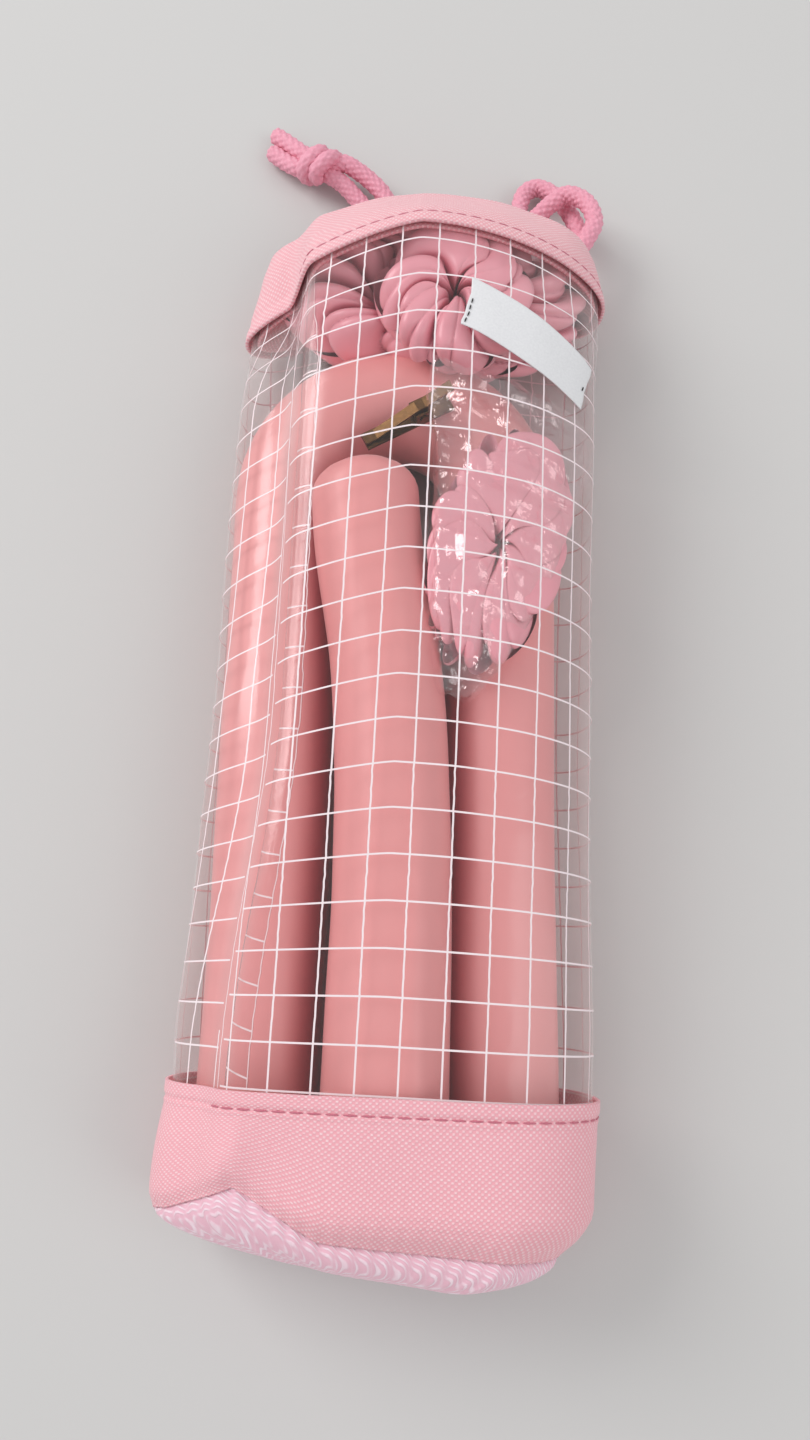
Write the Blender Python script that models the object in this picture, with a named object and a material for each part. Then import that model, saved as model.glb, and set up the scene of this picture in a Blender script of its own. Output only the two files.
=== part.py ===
"""Clear drawstring pouch lying on its back, packed with a satin hair-curling set.

Frame: +X across the pouch, +Y towards its mouth, +Z up, floor at z = 0, metres.
The pouch is a tube whose section changes from the canvas base to the gathered mouth.
Every piece of the pouch is placed by that section: a station along Y and an inset
from the outer surface. The contents are placed from the same sizes.
"""
import math

import bmesh
import bpy
import numpy as np
from mathutils import Matrix, Vector

MM = 0.001

# ---- driving dimensions of the pouch ----
GRID_SQUARE = 10.0 * MM  # printed square, along the pouch
CLEAR_SQUARES = 20.4  # squares between the hem and the base band
CLEAR_LENGTH = CLEAR_SQUARES * GRID_SQUARE
BAND_WIDTH = 36.5 * MM
HEM_WIDTH = 19.0 * MM
DISC_BULGE = 8.5 * MM
HALF_WIDTH = 46.5 * MM
LIE_HEIGHT = 46.0 * MM
MOUTH_HEIGHT = 35.0 * MM
VINYL = 0.4 * MM
CANVAS = 0.8 * MM
TAPE = 0.3 * MM  # thickness of the woven label
THREAD = 0.22 * MM  # radius of the sewing thread
GAP = 0.4 * MM  # clearance between pieces that touch
TUCK = 4.5 * MM  # how far the vinyl reaches under the canvas
STITCH_SETBACK = 3.5 * MM  # stitch row to canvas edge
SEAM_ALLOWANCE = 7.0 * MM
SEAM_ROOM = 0.6 * MM  # the doubled vinyl stands off the wall at the fold
TOP_POWER = 3.4  # how square the upper corners of the section are
FLOOR_POWER = 8.0  # and the lower ones, which the floor flattens
SIDE_POWER = 2.3  # how upright its sides are
FOLD_WIDTH = 8.0 * MM  # width of the step beside the side seam

# ---- driving dimensions of the drawcords ----
CORD = 4.8 * MM  # diameter
CHANNEL = CORD + 2 * GAP + 1.0 * MM  # clear thickness of the hem's channel
KNOT = Vector((5.2, 6.4, 5.0)) * MM  # half sizes of a knot
EXIT_DEPTH = 6.4 * MM  # how deep the cord exits cut into the hem's fold
LEFT_EXIT_X = -11.0 * MM
RIGHT_EXIT_Z = 13.4 * MM
LEFT_KNOT_AT = Vector((-30.8, 25.7, 6.4)) * MM  # Y from the mouth's lip
RIGHT_KNOT_AT = Vector((24.5, 8.6, 6.2)) * MM
LEFT_KNOT_TURN = math.radians(-25)

# ---- driving dimensions of the label ----
LABEL_SIZE = (34.0 * MM, 14.0 * MM)
LABEL_TURN = math.radians(-21)
LABEL_BELOW_HEM = 29.0 * MM
LABEL_FROM_SEAM = 53.5 * MM  # round the wall, to the label's middle

# ---- driving dimensions of the contents ----
ROD_RADIUS = 13.8 * MM
SCRUNCHIE_MAJOR = 11.0 * MM
SCRUNCHIE_MINOR = 6.5 * MM
CLIP_LENGTH = 24.0 * MM
CLIP_WIDTH = 4.4 * MM
CLIP_PLATE = 0.8 * MM
CLIP_PIN = 0.8 * MM  # radius of the hinge pin
FILM = 0.2 * MM

# ---- places along Y ----
LENGTH = DISC_BULGE + BAND_WIDTH + CLEAR_LENGTH + HEM_WIDTH
MOUTH_Y = LENGTH / 2
HEM_EDGE_Y = MOUTH_Y - HEM_WIDTH
BAND_EDGE_Y = HEM_EDGE_Y - CLEAR_LENGTH
BASE_SEAM_Y = BAND_EDGE_Y - BAND_WIDTH
CORD_ROW_Y = MOUTH_Y - 6.5 * MM

# ---- insets from the outer surface ----
WALL_INSET = CANVAS + GAP
INNER_FACE = WALL_INSET + VINYL
LINING_INSET = INNER_FACE + GAP
CHANNEL_INSET = CANVAS + CHANNEL / 2

AROUND = 64  # points round a section
FINE = 240  # points round a section while it is worked out

# y, left half width, right half width, height, left-hand dip, seam x
STATIONS = [
    (BASE_SEAM_Y, HALF_WIDTH + 3.5 * MM, HALF_WIDTH - 5.5 * MM, LIE_HEIGHT - 7 * MM, 0.06, -36 * MM),
    (BASE_SEAM_Y + 14 * MM, HALF_WIDTH + 3.0 * MM, HALF_WIDTH + 1.5 * MM, LIE_HEIGHT, 0.08, -36 * MM),
    (BAND_EDGE_Y, HALF_WIDTH + 1.5 * MM, HALF_WIDTH + 2.0 * MM, LIE_HEIGHT, 0.12, -35 * MM),
    (0.0, HALF_WIDTH - 0.5 * MM, HALF_WIDTH, LIE_HEIGHT, 0.16, -29 * MM),
    (HEM_EDGE_Y - 28 * MM, HALF_WIDTH, HALF_WIDTH + 0.5 * MM, LIE_HEIGHT, 0.2, -26 * MM),
    (HEM_EDGE_Y, HALF_WIDTH, HALF_WIDTH + 2.0 * MM, LIE_HEIGHT, 0.36, -24.5 * MM),
    (MOUTH_Y, HALF_WIDTH - 9.0 * MM, HALF_WIDTH - 0.5 * MM, MOUTH_HEIGHT, 0.42, -23 * MM),
]


# ---- the section of the tube ----
def ease(t):
    return t * t * (3 - 2 * t)


def at_station(y):
    """Left and right half width, height, dip and seam x at a place along Y."""
    places = [row[0] for row in STATIONS]
    y = min(max(y, places[0]), places[-1])
    k = min(sum(place <= y for place in places), len(places) - 1) - 1
    t = ease((y - places[k]) / (places[k + 1] - places[k]))
    return [a + (b - a) * t for a, b in zip(STATIONS[k][1:], STATIONS[k + 1][1:])]


def spread_evenly(points, count):
    """The same closed outline with count points at equal distances, from its first."""
    closed = np.vstack([points, points[:1]])
    run = np.concatenate([[0], np.cumsum(np.linalg.norm(np.diff(closed, axis=0), axis=1))])
    wanted = np.arange(count) / count * run[-1]
    return np.stack([np.interp(wanted, run, closed[:, i]) for i in (0, 1)], 1)


def outer_outline(y):
    """Section of the outer surface as (x, z), clockwise from the side seam."""
    left, right, height, dip, seam_x = at_station(y)
    angle = np.linspace(2 * np.pi, 0, 4 * FINE, endpoint=False)
    c, s = np.cos(angle), np.sin(angle)
    corner = 2 / np.where(s > 0, TOP_POWER, FLOOR_POWER)
    x = np.where(c > 0, right, left) * np.sign(c) * np.abs(c) ** corner
    z = height / 2 * (1 + np.sign(s) * np.abs(s) ** (2 / SIDE_POWER))
    fold = ease(np.clip((seam_x + FOLD_WIDTH / 2 - x) / FOLD_WIDTH, 0, 1))
    z = z * (1 - dip * fold)
    start = int(np.argmin(np.abs(x - seam_x) + (s < 0)))
    return spread_evenly(np.roll(np.stack([x, z], 1), -start, axis=0), FINE)


def outline(y, inset, count=AROUND):
    """The section moved inwards by inset in small steps, which keeps tight corners open."""
    points = outer_outline(y)
    steps = max(1, math.ceil(abs(inset) / (0.4 * MM) - 1e-6)) if inset else 0
    for _ in range(steps):
        tangent = np.roll(points, -1, axis=0) - np.roll(points, 1, axis=0)
        tangent /= np.linalg.norm(tangent, axis=1)[:, None]
        inward = np.stack([tangent[:, 1], -tangent[:, 0]], 1)
        points = points + inward * inset / steps
        points = (np.roll(points, 1, axis=0) + 6 * points + np.roll(points, -1, axis=0)) / 8
        points = spread_evenly(points, FINE)
    return spread_evenly(points, count)


def ring(y, inset, count=AROUND):
    return [Vector((x, y, z)) for x, z in outline(y, inset, count)]


def on_surface(s, y, inset):
    """The point at arc length s past the side seam, at a place along Y and an inset."""
    points = outline(y, inset, FINE)
    closed = np.vstack([points, points[:1]])
    run = np.concatenate([[0], np.cumsum(np.linalg.norm(np.diff(closed, axis=0), axis=1))])
    s = s % run[-1]
    return Vector((np.interp(s, run, closed[:, 0]), y, np.interp(s, run, closed[:, 1])))


# ---- building helpers ----
def start_scene():
    for old in list(bpy.data.objects):
        bpy.data.objects.remove(old, do_unlink=True)
    part = bpy.data.collections.new("drawstring_pouch")
    cutters = bpy.data.collections.new("cutters")
    for group in (part, cutters):
        bpy.context.scene.collection.children.link(group)
    return part, cutters


PART, CUTTERS = start_scene()


def material(name, colour, roughness, metallic=0.0, alpha=1.0):
    """A Principled material with an sRGB colour given as 0 to 255."""
    mat = bpy.data.materials.get(name) or bpy.data.materials.new(name)
    mat.use_nodes = True
    shader = mat.node_tree.nodes["Principled BSDF"]
    linear = [(c / 255) ** 2.2 for c in colour]
    shader.inputs["Base Color"].default_value = (*linear, 1)
    shader.inputs["Roughness"].default_value = roughness
    shader.inputs["Metallic"].default_value = metallic
    shader.inputs["Alpha"].default_value = alpha
    return mat


CLEAR_VINYL = material("clear_vinyl", (236, 232, 232), 0.08, alpha=0.3)
PINK_CANVAS = material("pink_canvas", (240, 158, 172), 0.85)
PINK_THREAD = material("pink_thread", (205, 120, 138), 0.7)
DARK_THREAD = material("dark_thread", (50, 48, 48), 0.7)
WHITE_TAPE = material("white_tape", (238, 238, 238), 0.6)
PINK_CORD = material("pink_cord", (240, 150, 175), 0.8)
SATIN = material("satin", (226, 138, 142), 0.35)
GOLD = material("gold_plate", (170, 130, 70), 0.3, metallic=1.0)
FILM_CLEAR = material("clear_film", (240, 225, 228), 0.05, alpha=0.3)


def add_object(name, bm, mat, smooth=40):
    """Link a bmesh as a node with faces pointing out and smooth round sides."""
    bmesh.ops.recalc_face_normals(bm, faces=bm.faces)
    mesh = bpy.data.meshes.new(name)
    bm.to_mesh(mesh)
    bm.free()
    mesh.shade_smooth()
    mesh.set_sharp_from_angle(angle=math.radians(smooth))
    mesh.materials.append(mat)
    obj = bpy.data.objects.new(name, mesh)
    PART.objects.link(obj)
    return obj


def loft(name, rings, mat, closed=False):
    """A body through rings of equal counts: capped at both ends, or closed on itself."""
    bm = bmesh.new()
    rows = [[bm.verts.new(point) for point in points] for points in rings]
    pairs = list(zip(rows, rows[1:])) + ([(rows[-1], rows[0])] if closed else [])
    for a, b in pairs:
        for i in range(len(a)):
            j = (i + 1) % len(a)
            bm.faces.new((a[i], a[j], b[j], b[i]))
    if not closed:
        bm.faces.new(rows[0])
        bm.faces.new(rows[-1])
    return add_object(name, bm, mat)


def smooth_path(points, spacing):
    """Points about one spacing apart on a Catmull-Rom curve through the given points."""
    p = [Vector(q) for q in points]
    p = [2 * p[0] - p[1]] + p + [2 * p[-1] - p[-2]]
    path = []
    for a, b, c, d in zip(p, p[1:], p[2:], p[3:]):
        steps = max(1, round((c - b).length / spacing))
        for k in range(steps):
            t = k / steps
            path.append(
                0.5 * (2 * b + (c - a) * t + (2 * a - 5 * b + 4 * c - d) * t * t
                       + (3 * b - a - 3 * c + d) * t ** 3)
            )
    return path + [p[-2]]


def tube(name, path, radius, mat, sides=2, taper=None):
    """A round tube on a POLY spline with filled caps. taper scales the radius at each point."""
    curve = bpy.data.curves.new(name, "CURVE")
    curve.dimensions = "3D"
    curve.bevel_depth = radius
    curve.bevel_resolution = sides
    curve.use_fill_caps = True
    spline = curve.splines.new("POLY")
    spline.points.add(len(path) - 1)
    for k, (point, place) in enumerate(zip(spline.points, path)):
        point.co = (*place, 1)
        point.radius = taper[k] if taper else 1.0
    curve.materials.append(mat)
    obj = bpy.data.objects.new(name, curve)
    PART.objects.link(obj)
    return obj


def boolean(obj, other, operation):
    """Apply a Boolean with the EXACT solver and remove the second object."""
    modifier = obj.modifiers.new("cut", "BOOLEAN")
    modifier.object = other
    modifier.operation = operation
    bpy.context.view_layer.update()
    mesh = bpy.data.meshes.new_from_object(obj.evaluated_get(bpy.context.evaluated_depsgraph_get()))
    obj.modifiers.clear()
    obj.data = mesh
    bpy.data.objects.remove(other, do_unlink=True)


def box_object(name, low, high, mat, group):
    """A box between two corners, from the cube primitive."""
    low, high = Vector(low), Vector(high)
    bm = bmesh.new()
    bmesh.ops.create_cube(bm, size=1)
    bmesh.ops.scale(bm, vec=high - low, verts=bm.verts)
    bmesh.ops.translate(bm, vec=(low + high) / 2, verts=bm.verts)
    obj = add_object(name, bm, mat)
    if group is CUTTERS:
        PART.objects.unlink(obj)
        CUTTERS.objects.link(obj)
        obj.hide_render = True
        obj.display_type = "WIRE"
    return obj


# ---- the pouch ----
def shell_rings(places, inset, thickness):
    """Outer rings one way and inner rings back, for a closed wall of a tube."""
    outer = [ring(y, inset) for y in places]
    inner = [ring(y, inset + thickness) for y in reversed(places)]
    return outer + inner


def wall_places():
    return list(np.linspace(BAND_EDGE_Y, HEM_EDGE_Y, 9))


def make_clear_wall():
    places = [BAND_EDGE_Y - TUCK] + wall_places() + [HEM_EDGE_Y + TUCK]
    loft("clear_wall", shell_rings(places, WALL_INSET, VINYL), CLEAR_VINYL, closed=True)


def make_side_seam():
    """The doubled vinyl along the seam, inside the wall, and its row of thread outside."""
    places = wall_places()
    inset = LINING_INSET + SEAM_ROOM
    across = np.linspace(0.5 * MM, SEAM_ALLOWANCE, 4)
    rings = []
    for y in places:
        near = [on_surface(s, y, inset) for s in across]
        far = [on_surface(s, y, inset + VINYL) for s in reversed(across)]
        rings.append(near + far)
    loft("side_seam_strip", rings, CLEAR_VINYL)
    row = [on_surface(SEAM_ALLOWANCE / 2, y, WALL_INSET - GAP - THREAD) for y in places]
    tube("side_seam_thread", row, THREAD, WHITE_TAPE, sides=0)


def make_base():
    belly = BASE_SEAM_Y + 14 * MM
    places = [BASE_SEAM_Y, BASE_SEAM_Y + 7 * MM, belly, BAND_EDGE_Y - TUCK, BAND_EDGE_Y]
    loft("base_band", shell_rings(places, 0.0, CANVAS), PINK_CANVAS, closed=True)
    rim = ring(BASE_SEAM_Y + GAP, CANVAS + GAP)
    middle = sum(rim, Vector()) / len(rim) - Vector((0, 0, 5 * MM))
    depth = DISC_BULGE + GAP

    def dome(scale, thickness):
        out = depth * math.sqrt(1 - scale * scale)
        shrink = scale * (1 - 0.3 * thickness / LIE_HEIGHT)
        return [middle + (p - middle) * shrink + Vector((0, thickness - out, 0)) for p in rim]

    scales = (0.12, 0.4, 0.66, 0.86, 0.96, 1.0)
    rings = [dome(s, 0.0) for s in scales] + [dome(s, CANVAS) for s in reversed(scales)]
    loft("base_disc", rings, PINK_CANVAS)


def make_hem():
    """A folded channel: its middle line in (distance from the lower edge, inset)."""
    half = CANVAS / 2
    deep = CANVAS + CHANNEL + half
    row = CORD_ROW_Y - HEM_EDGE_Y
    line = [
        (0.0, half),
        (TUCK, half),
        (9.0 * MM, half),
        (row, half),
        (HEM_WIDTH - 2.6 * MM, half),
        (HEM_WIDTH - half, CHANNEL_INSET),
        (HEM_WIDTH - 2.6 * MM, deep),
        (row, deep),
        (9.0 * MM, deep),
        (TUCK + 1.0 * MM, LINING_INSET + half),
        (0.0, LINING_INSET + half),
    ]
    sides = {1: [], -1: []}
    for k, (y, inset) in enumerate(line):
        before = Vector(line[max(k - 1, 0)])
        after = Vector(line[min(k + 1, len(line) - 1)])
        along = (after - before).normalized()
        for side in sides:
            place = Vector((y, inset)) + Vector((along.y, -along.x)) * half * side
            sides[side].append(ring(HEM_EDGE_Y + min(max(place.x, 0), HEM_WIDTH), place.y))
    hem = loft("hem_band", sides[1] + sides[-1][::-1], PINK_CANVAS, closed=True)
    for name, low, high in cord_exits():
        cutter = box_object(name, low, high, PINK_CANVAS, CUTTERS)
        boolean(hem, cutter, "DIFFERENCE")


def cord_exits():
    """Boxes that open the hem's fold where a pair of cords comes out."""
    near, far = MOUTH_Y - EXIT_DEPTH, MOUTH_Y + 2 * MM
    room = CORD / 2 + GAP
    left_z = (CANVAS * 0.6, CHANNEL_INSET + room)
    right = on_surface_at_height(MOUTH_Y - EXIT_DEPTH, CHANNEL_INSET, RIGHT_EXIT_Z)
    return [
        (
            "left_exit_cutter",
            (LEFT_EXIT_X - 2 * room, near, left_z[0]),
            (LEFT_EXIT_X + 2 * room, far, left_z[1]),
        ),
        (
            "right_exit_cutter",
            (right.x - room - 1.2 * MM, near, RIGHT_EXIT_Z - 2 * room),
            (right.x + room + 1.2 * MM, far, RIGHT_EXIT_Z + 2 * room),
        ),
    ]


def on_surface_at_height(y, inset, z):
    """The point of the right-hand side at a height, for things stacked in the fold."""
    points = outline(y, inset, FINE)
    right = points[points[:, 0] > 0]
    x, height = right[np.argmin(np.abs(right[:, 1] - z) - right[:, 0])]
    return Vector((x, y, z))


def upper_arc(y, inset, floor_z):
    """The part of a ring that is above a height, in order, from left to right."""
    points = ring(y, inset, 120)
    above = [p.z > floor_z for p in points]
    start = max(k for k in range(len(points)) if above[k] and not above[k - 1])
    ordered = points[start:] + points[:start]
    return [p for p, high in zip(ordered, above[start:] + above[:start]) if high]


def make_threads():
    """Stitch rows on the canvas, left off where the pouch lies on them."""
    for name, y in (
        ("base_band_thread", BAND_EDGE_Y - STITCH_SETBACK),
        ("hem_thread", HEM_EDGE_Y + STITCH_SETBACK),
    ):
        row = upper_arc(y, -GAP - THREAD, 2 * MM)
        tube(name, row[::2], THREAD, PINK_THREAD, sides=0)


def label_point(a, b, inset):
    """A point of the label from its own width and height, on the wall's outer face."""
    s = LABEL_FROM_SEAM + a * math.cos(LABEL_TURN) - b * math.sin(LABEL_TURN)
    y = HEM_EDGE_Y - LABEL_BELOW_HEM + a * math.sin(LABEL_TURN) + b * math.cos(LABEL_TURN)
    return on_surface(s, y, inset)


def make_label():
    width, height = LABEL_SIZE
    face = WALL_INSET - GAP - TAPE
    heights = np.linspace(-height / 2, height / 2, 3)
    rings = []
    for a in np.linspace(-width / 2, width / 2, 9):
        near = [label_point(a, b, face) for b in heights]
        far = [label_point(a, b, face + TAPE) for b in reversed(heights)]
        rings.append(near + far)
    loft("woven_label", rings, WHITE_TAPE)
    stitches_at = width / 2 - 1.2 * MM
    for name, a in (("label_thread_left", -stitches_at), ("label_thread_right", stitches_at)):
        row = [label_point(a, b, face - GAP - THREAD) for b in np.linspace(-0.42, 0.42, 4) * height]
        tube(name, row, THREAD, DARK_THREAD, sides=0)


# ---- the drawcords ----
def from_mouth(points):
    """Points given in mm with Y measured from the mouth's lip."""
    return [Vector((x, y, z)) * MM + Vector((0, MOUTH_Y, 0)) for x, y, z in points]


def make_cord_runs():
    """The hidden runs in the channel: the front one over the top, the back one below."""
    points = ring(CORD_ROW_Y, CHANNEL_INSET, 160)
    exit_at = Vector((LEFT_EXIT_X, CORD_ROW_Y, CHANNEL_INSET))
    start = min(range(len(points)), key=lambda k: (points[k] - exit_at).length)
    exit_room = 1.5 * CORD + 2 * GAP
    runs = [[]]
    for p in points[start:] + points[:start]:
        at_left = abs(p.x - LEFT_EXIT_X) < exit_room and p.z < 2 * CHANNEL_INSET
        at_right = p.x > 0 and abs(p.z - RIGHT_EXIT_Z) < exit_room
        if not at_left and not at_right:
            runs[-1].append(p)
        elif runs[-1]:
            runs.append([])
    back, front = sorted(runs, key=len)[-2:]
    tube("back_cord_run", back[::2], CORD / 2, PINK_CORD)
    tube("front_cord_run", front[::2], CORD / 2, PINK_CORD)


def make_knot(name, centre, turn):
    """The rounded mass of an overhand knot, longest across its cords."""
    bm = bmesh.new()
    bmesh.ops.create_uvsphere(bm, u_segments=14, v_segments=8, radius=1)
    shape = Matrix.Translation(centre) @ Matrix.Rotation(turn, 4, "Z") @ Matrix.Diagonal((*KNOT, 1))
    bmesh.ops.transform(bm, matrix=shape, verts=bm.verts)
    add_object(name, bm, PINK_CORD)


# A cord's route from its exit to its knot, or from the knot to its cut end, in mm,
# with Y measured from the mouth's lip.
CORD_ROUTES = {
    "left_cord_upper_leg": [
        (-8.3, -5.0, 3.9), (-8.4, 4.0, 3.9), (-9.4, 12.0, 4.1), (-12.2, 18.8, 4.5),
        (-16.6, 23.2, 5.2), (-20.6, 25.6, 6.2), (-24.0, 26.8, 7.0),
    ],
    "left_cord_lower_leg": [
        (-13.9, -5.0, 3.9), (-14.1, 3.0, 3.9), (-15.4, 10.0, 3.6), (-17.8, 15.4, 3.4),
        (-20.6, 18.6, 3.8), (-23.4, 21.2, 4.6), (-25.6, 22.6, 5.2),
    ],
    "left_cord_upper_tail": [(-36.6, 30.4, 5.6), (-40.8, 34.6, 4.2), (-45.5, 39.6, 2.9)],
    "left_cord_lower_tail": [(-37.7, 24.4, 5.0), (-41.2, 28.2, 3.6), (-46.2, 32.0, 2.7)],
    "right_cord_lower_leg": [
        (41.0, -5.0, 10.6), (43.4, 1.0, 9.9), (43.9, 5.0, 8.4), (42.0, 11.5, 6.6),
        (39.4, 17.2, 5.2), (35.6, 22.2, 4.0), (31.4, 24.2, 3.4), (27.9, 21.6, 3.8),
        (26.4, 15.3, 5.2),
    ],
    "right_cord_upper_leg": [
        (42.0, -5.0, 16.3), (44.9, 0.5, 16.2), (46.4, 5.0, 15.4), (45.4, 10.6, 14.0),
        (42.6, 14.6, 12.6), (38.8, 16.2, 11.4), (35.0, 14.4, 9.8), (30.7, 10.8, 7.8),
    ],
    "right_cord_upper_tail": [
        (19.7, 11.7, 5.0), (14.6, 13.4, 3.4), (10.0, 14.0, 2.8), (3.5, 13.6, 2.6),
    ],
    "right_cord_lower_tail": [
        (19.0, 6.0, 4.9), (14.6, 6.4, 3.3), (10.0, 6.8, 2.7), (2.5, 6.2, 2.6),
    ],
}


def make_cords():
    make_cord_runs()
    for name, route in CORD_ROUTES.items():
        tube(name, smooth_path(from_mouth(route), CORD * 0.6), CORD / 2, PINK_CORD)
    lip = Vector((0, MOUTH_Y, 0))
    make_knot("left_cord_knot", LEFT_KNOT_AT + lip, LEFT_KNOT_TURN)
    make_knot("right_cord_knot", RIGHT_KNOT_AT + lip, 0.0)


# ---- the contents ----
FLOOR_Z = INNER_FACE + GAP  # underside of what lies in the pouch
ROD_Z = FLOOR_Z + ROD_RADIUS
LEFT_LEG_X = -(HALF_WIDTH - INNER_FACE - ROD_RADIUS - 1.8 * MM)
RIGHT_LEG_X = HALF_WIDTH - INNER_FACE - ROD_RADIUS - 4.1 * MM
ROD_TOP = ROD_Z + ROD_RADIUS
BEND_Y = HEM_EDGE_Y - 62.5 * MM  # middle of the upper bend
TIP_Y = BEND_Y + 3.0 * MM  # domed end of the middle leg
TIP_X = -4.2 * MM
BASE_END_Y = -LENGTH / 2 + CANVAS + 3 * GAP  # where the lower bend stops


def resting_height(dx):
    """Height of a leg that lies in the valley of its neighbour at distance dx."""
    reach = 2 * ROD_RADIUS + GAP
    return ROD_Z + math.sqrt(max(reach * reach - dx * dx, 0))


def rod_path():
    """One rod: up the left, over a bend, down the right, round a bend, up the middle."""
    left_end = Vector((LEFT_LEG_X, BASE_END_Y + 3.5 * MM, ROD_Z))
    upper_r = (RIGHT_LEG_X - LEFT_LEG_X) / 2
    upper_c = Vector((LEFT_LEG_X + upper_r, BEND_Y, ROD_Z))
    lower_r = ROD_RADIUS + 0.7 * MM
    lower_y = BASE_END_Y + ROD_RADIUS + lower_r
    tilt = math.radians(20)
    inward = Vector((-math.cos(tilt), 0, math.sin(tilt)))
    right_foot = Vector((RIGHT_LEG_X, lower_y, ROD_Z))
    path = [left_end + Vector((0, d * ROD_RADIUS, 0)) for d in (0.0, 0.12, 0.4, 1.0)]
    path += [Vector((LEFT_LEG_X, y, ROD_Z)) for y in np.linspace(-90 * MM, BEND_Y - 10 * MM, 7)]
    for k in range(13):
        a = math.pi * (1 - k / 12)
        path.append(upper_c + Vector((math.cos(a), math.sin(a), 0)) * upper_r)
    path += [Vector((RIGHT_LEG_X, y, ROD_Z)) for y in np.linspace(BEND_Y - 10 * MM, lower_y + 12 * MM, 7)]
    for k in range(9):
        a = math.pi * k / 8
        drop = Vector((0, lower_r * math.sin(a), 0))
        path.append(right_foot + inward * lower_r * (1 - math.cos(a)) - drop)
    foot = path[-1]
    tip = Vector((TIP_X, TIP_Y, resting_height(TIP_X - LEFT_LEG_X)))
    dome = [1.0, 0.4, 0.12, 0.0]
    ends = [tip - Vector((0, d * ROD_RADIUS, 0)) for d in dome]
    path += [foot.lerp(ends[0], k / 7) for k in range(1, 7)] + ends
    return path


def dome_taper(count):
    taper = [1.0] * count
    for k, value in enumerate((0.3, 0.52, 0.8)):
        taper[k] = value
        taper[-1 - k] = value
    return taper


def make_rod():
    path = rod_path()
    tube("satin_rod", path, ROD_RADIUS, SATIN, sides=6, taper=dome_taper(len(path)))


def torus(name, centre, major, minor, scale, mat, turn=None):
    """A gathered ring, from rings of a tube swept round an oval."""
    rings = []
    for k in range(28):
        a = 2 * math.pi * k / 28
        out = Vector((math.cos(a), math.sin(a), 0))
        ring_points = []
        for m in range(10):
            b = 2 * math.pi * m / 10
            p = out * (major + minor * math.cos(b)) + Vector((0, 0, minor * math.sin(b)))
            p = Vector((p.x * scale[0], p.y * scale[1], p.z * scale[2]))
            if turn:
                p.rotate(turn)
            ring_points.append(centre + p)
        rings.append(ring_points)
    return loft(name, rings, mat, closed=True)


SCRUNCHIE_Z = ROD_TOP + GAP + SCRUNCHIE_MINOR + 0.1 * MM
SCRUNCHIE_AT = Vector((10.0 * MM, HEM_EDGE_Y - 17.0 * MM, SCRUNCHIE_Z))
BAG_HALF = (15.4 * MM, 5.2 * MM)
BAG_TILT = math.radians(17)
BAG_Z = ROD_TOP + GAP + BAG_HALF[1] + 0.8 * MM
BAG_AT = Vector((RIGHT_LEG_X - 1.3 * MM, HEM_EDGE_Y - 79.0 * MM, BAG_Z))


def make_scrunchies():
    torus("upper_scrunchie", SCRUNCHIE_AT, SCRUNCHIE_MAJOR, SCRUNCHIE_MINOR, (1, 1.14, 1), SATIN)
    room = FILM + GAP
    minor = BAG_HALF[1] - room - 0.7 * MM
    major = BAG_HALF[0] - room - minor - 0.8 * MM
    turn = Matrix.Rotation(BAG_TILT, 3, "Y").to_euler()
    torus("bagged_scrunchie", BAG_AT, major, minor, (1, 1.5, 1), SATIN, turn=turn)


def make_film_bag():
    """A flat sleeve of film, sealed at its lower end and open at its upper end."""
    profile = [(-30, 0.3), (-27, 0.62), (-20, 0.92), (-10, 1.0), (10, 1.0), (20, 0.96), (29, 0.8)]

    def oval(y, scale, inset):
        points = []
        for k in range(24):
            a = 2 * math.pi * k / 24
            x = (BAG_HALF[0] * scale - inset) * math.copysign(abs(math.cos(a)) ** 0.75, math.cos(a))
            z = (BAG_HALF[1] * scale ** 0.5 - inset) * math.copysign(abs(math.sin(a)) ** 0.75, math.sin(a))
            turned = Matrix.Rotation(BAG_TILT, 3, "Y") @ Vector((x, 0, z))
            points.append(BAG_AT + turned + Vector((0, y, 0)))
        return points

    outer = [oval(y * MM, scale, 0) for y, scale in profile]
    inner = [oval(y * MM, scale, FILM) for y, scale in profile]
    inner[0] = oval(profile[0][0] * MM + FILM, profile[0][1], FILM)
    loft("film_bag", outer + inner[::-1], FILM_CLEAR)


# ---- the hair clip ----
CLIP_AT = Vector((-1.5 * MM, TIP_Y + 14.0 * MM, ROD_TOP + GAP))  # middle of its underside
CLIP_TURN = math.radians(30)
CLIP_PIVOT = Vector((0.14 * CLIP_LENGTH, 0, 3.4 * MM))  # pin, from the clip's middle
CHEEK = 0.5 * MM
PIN_PLAY = 0.3 * MM


def clip_place():
    return Matrix.Translation(CLIP_AT) @ Matrix.Rotation(CLIP_TURN, 4, "Z")


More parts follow.
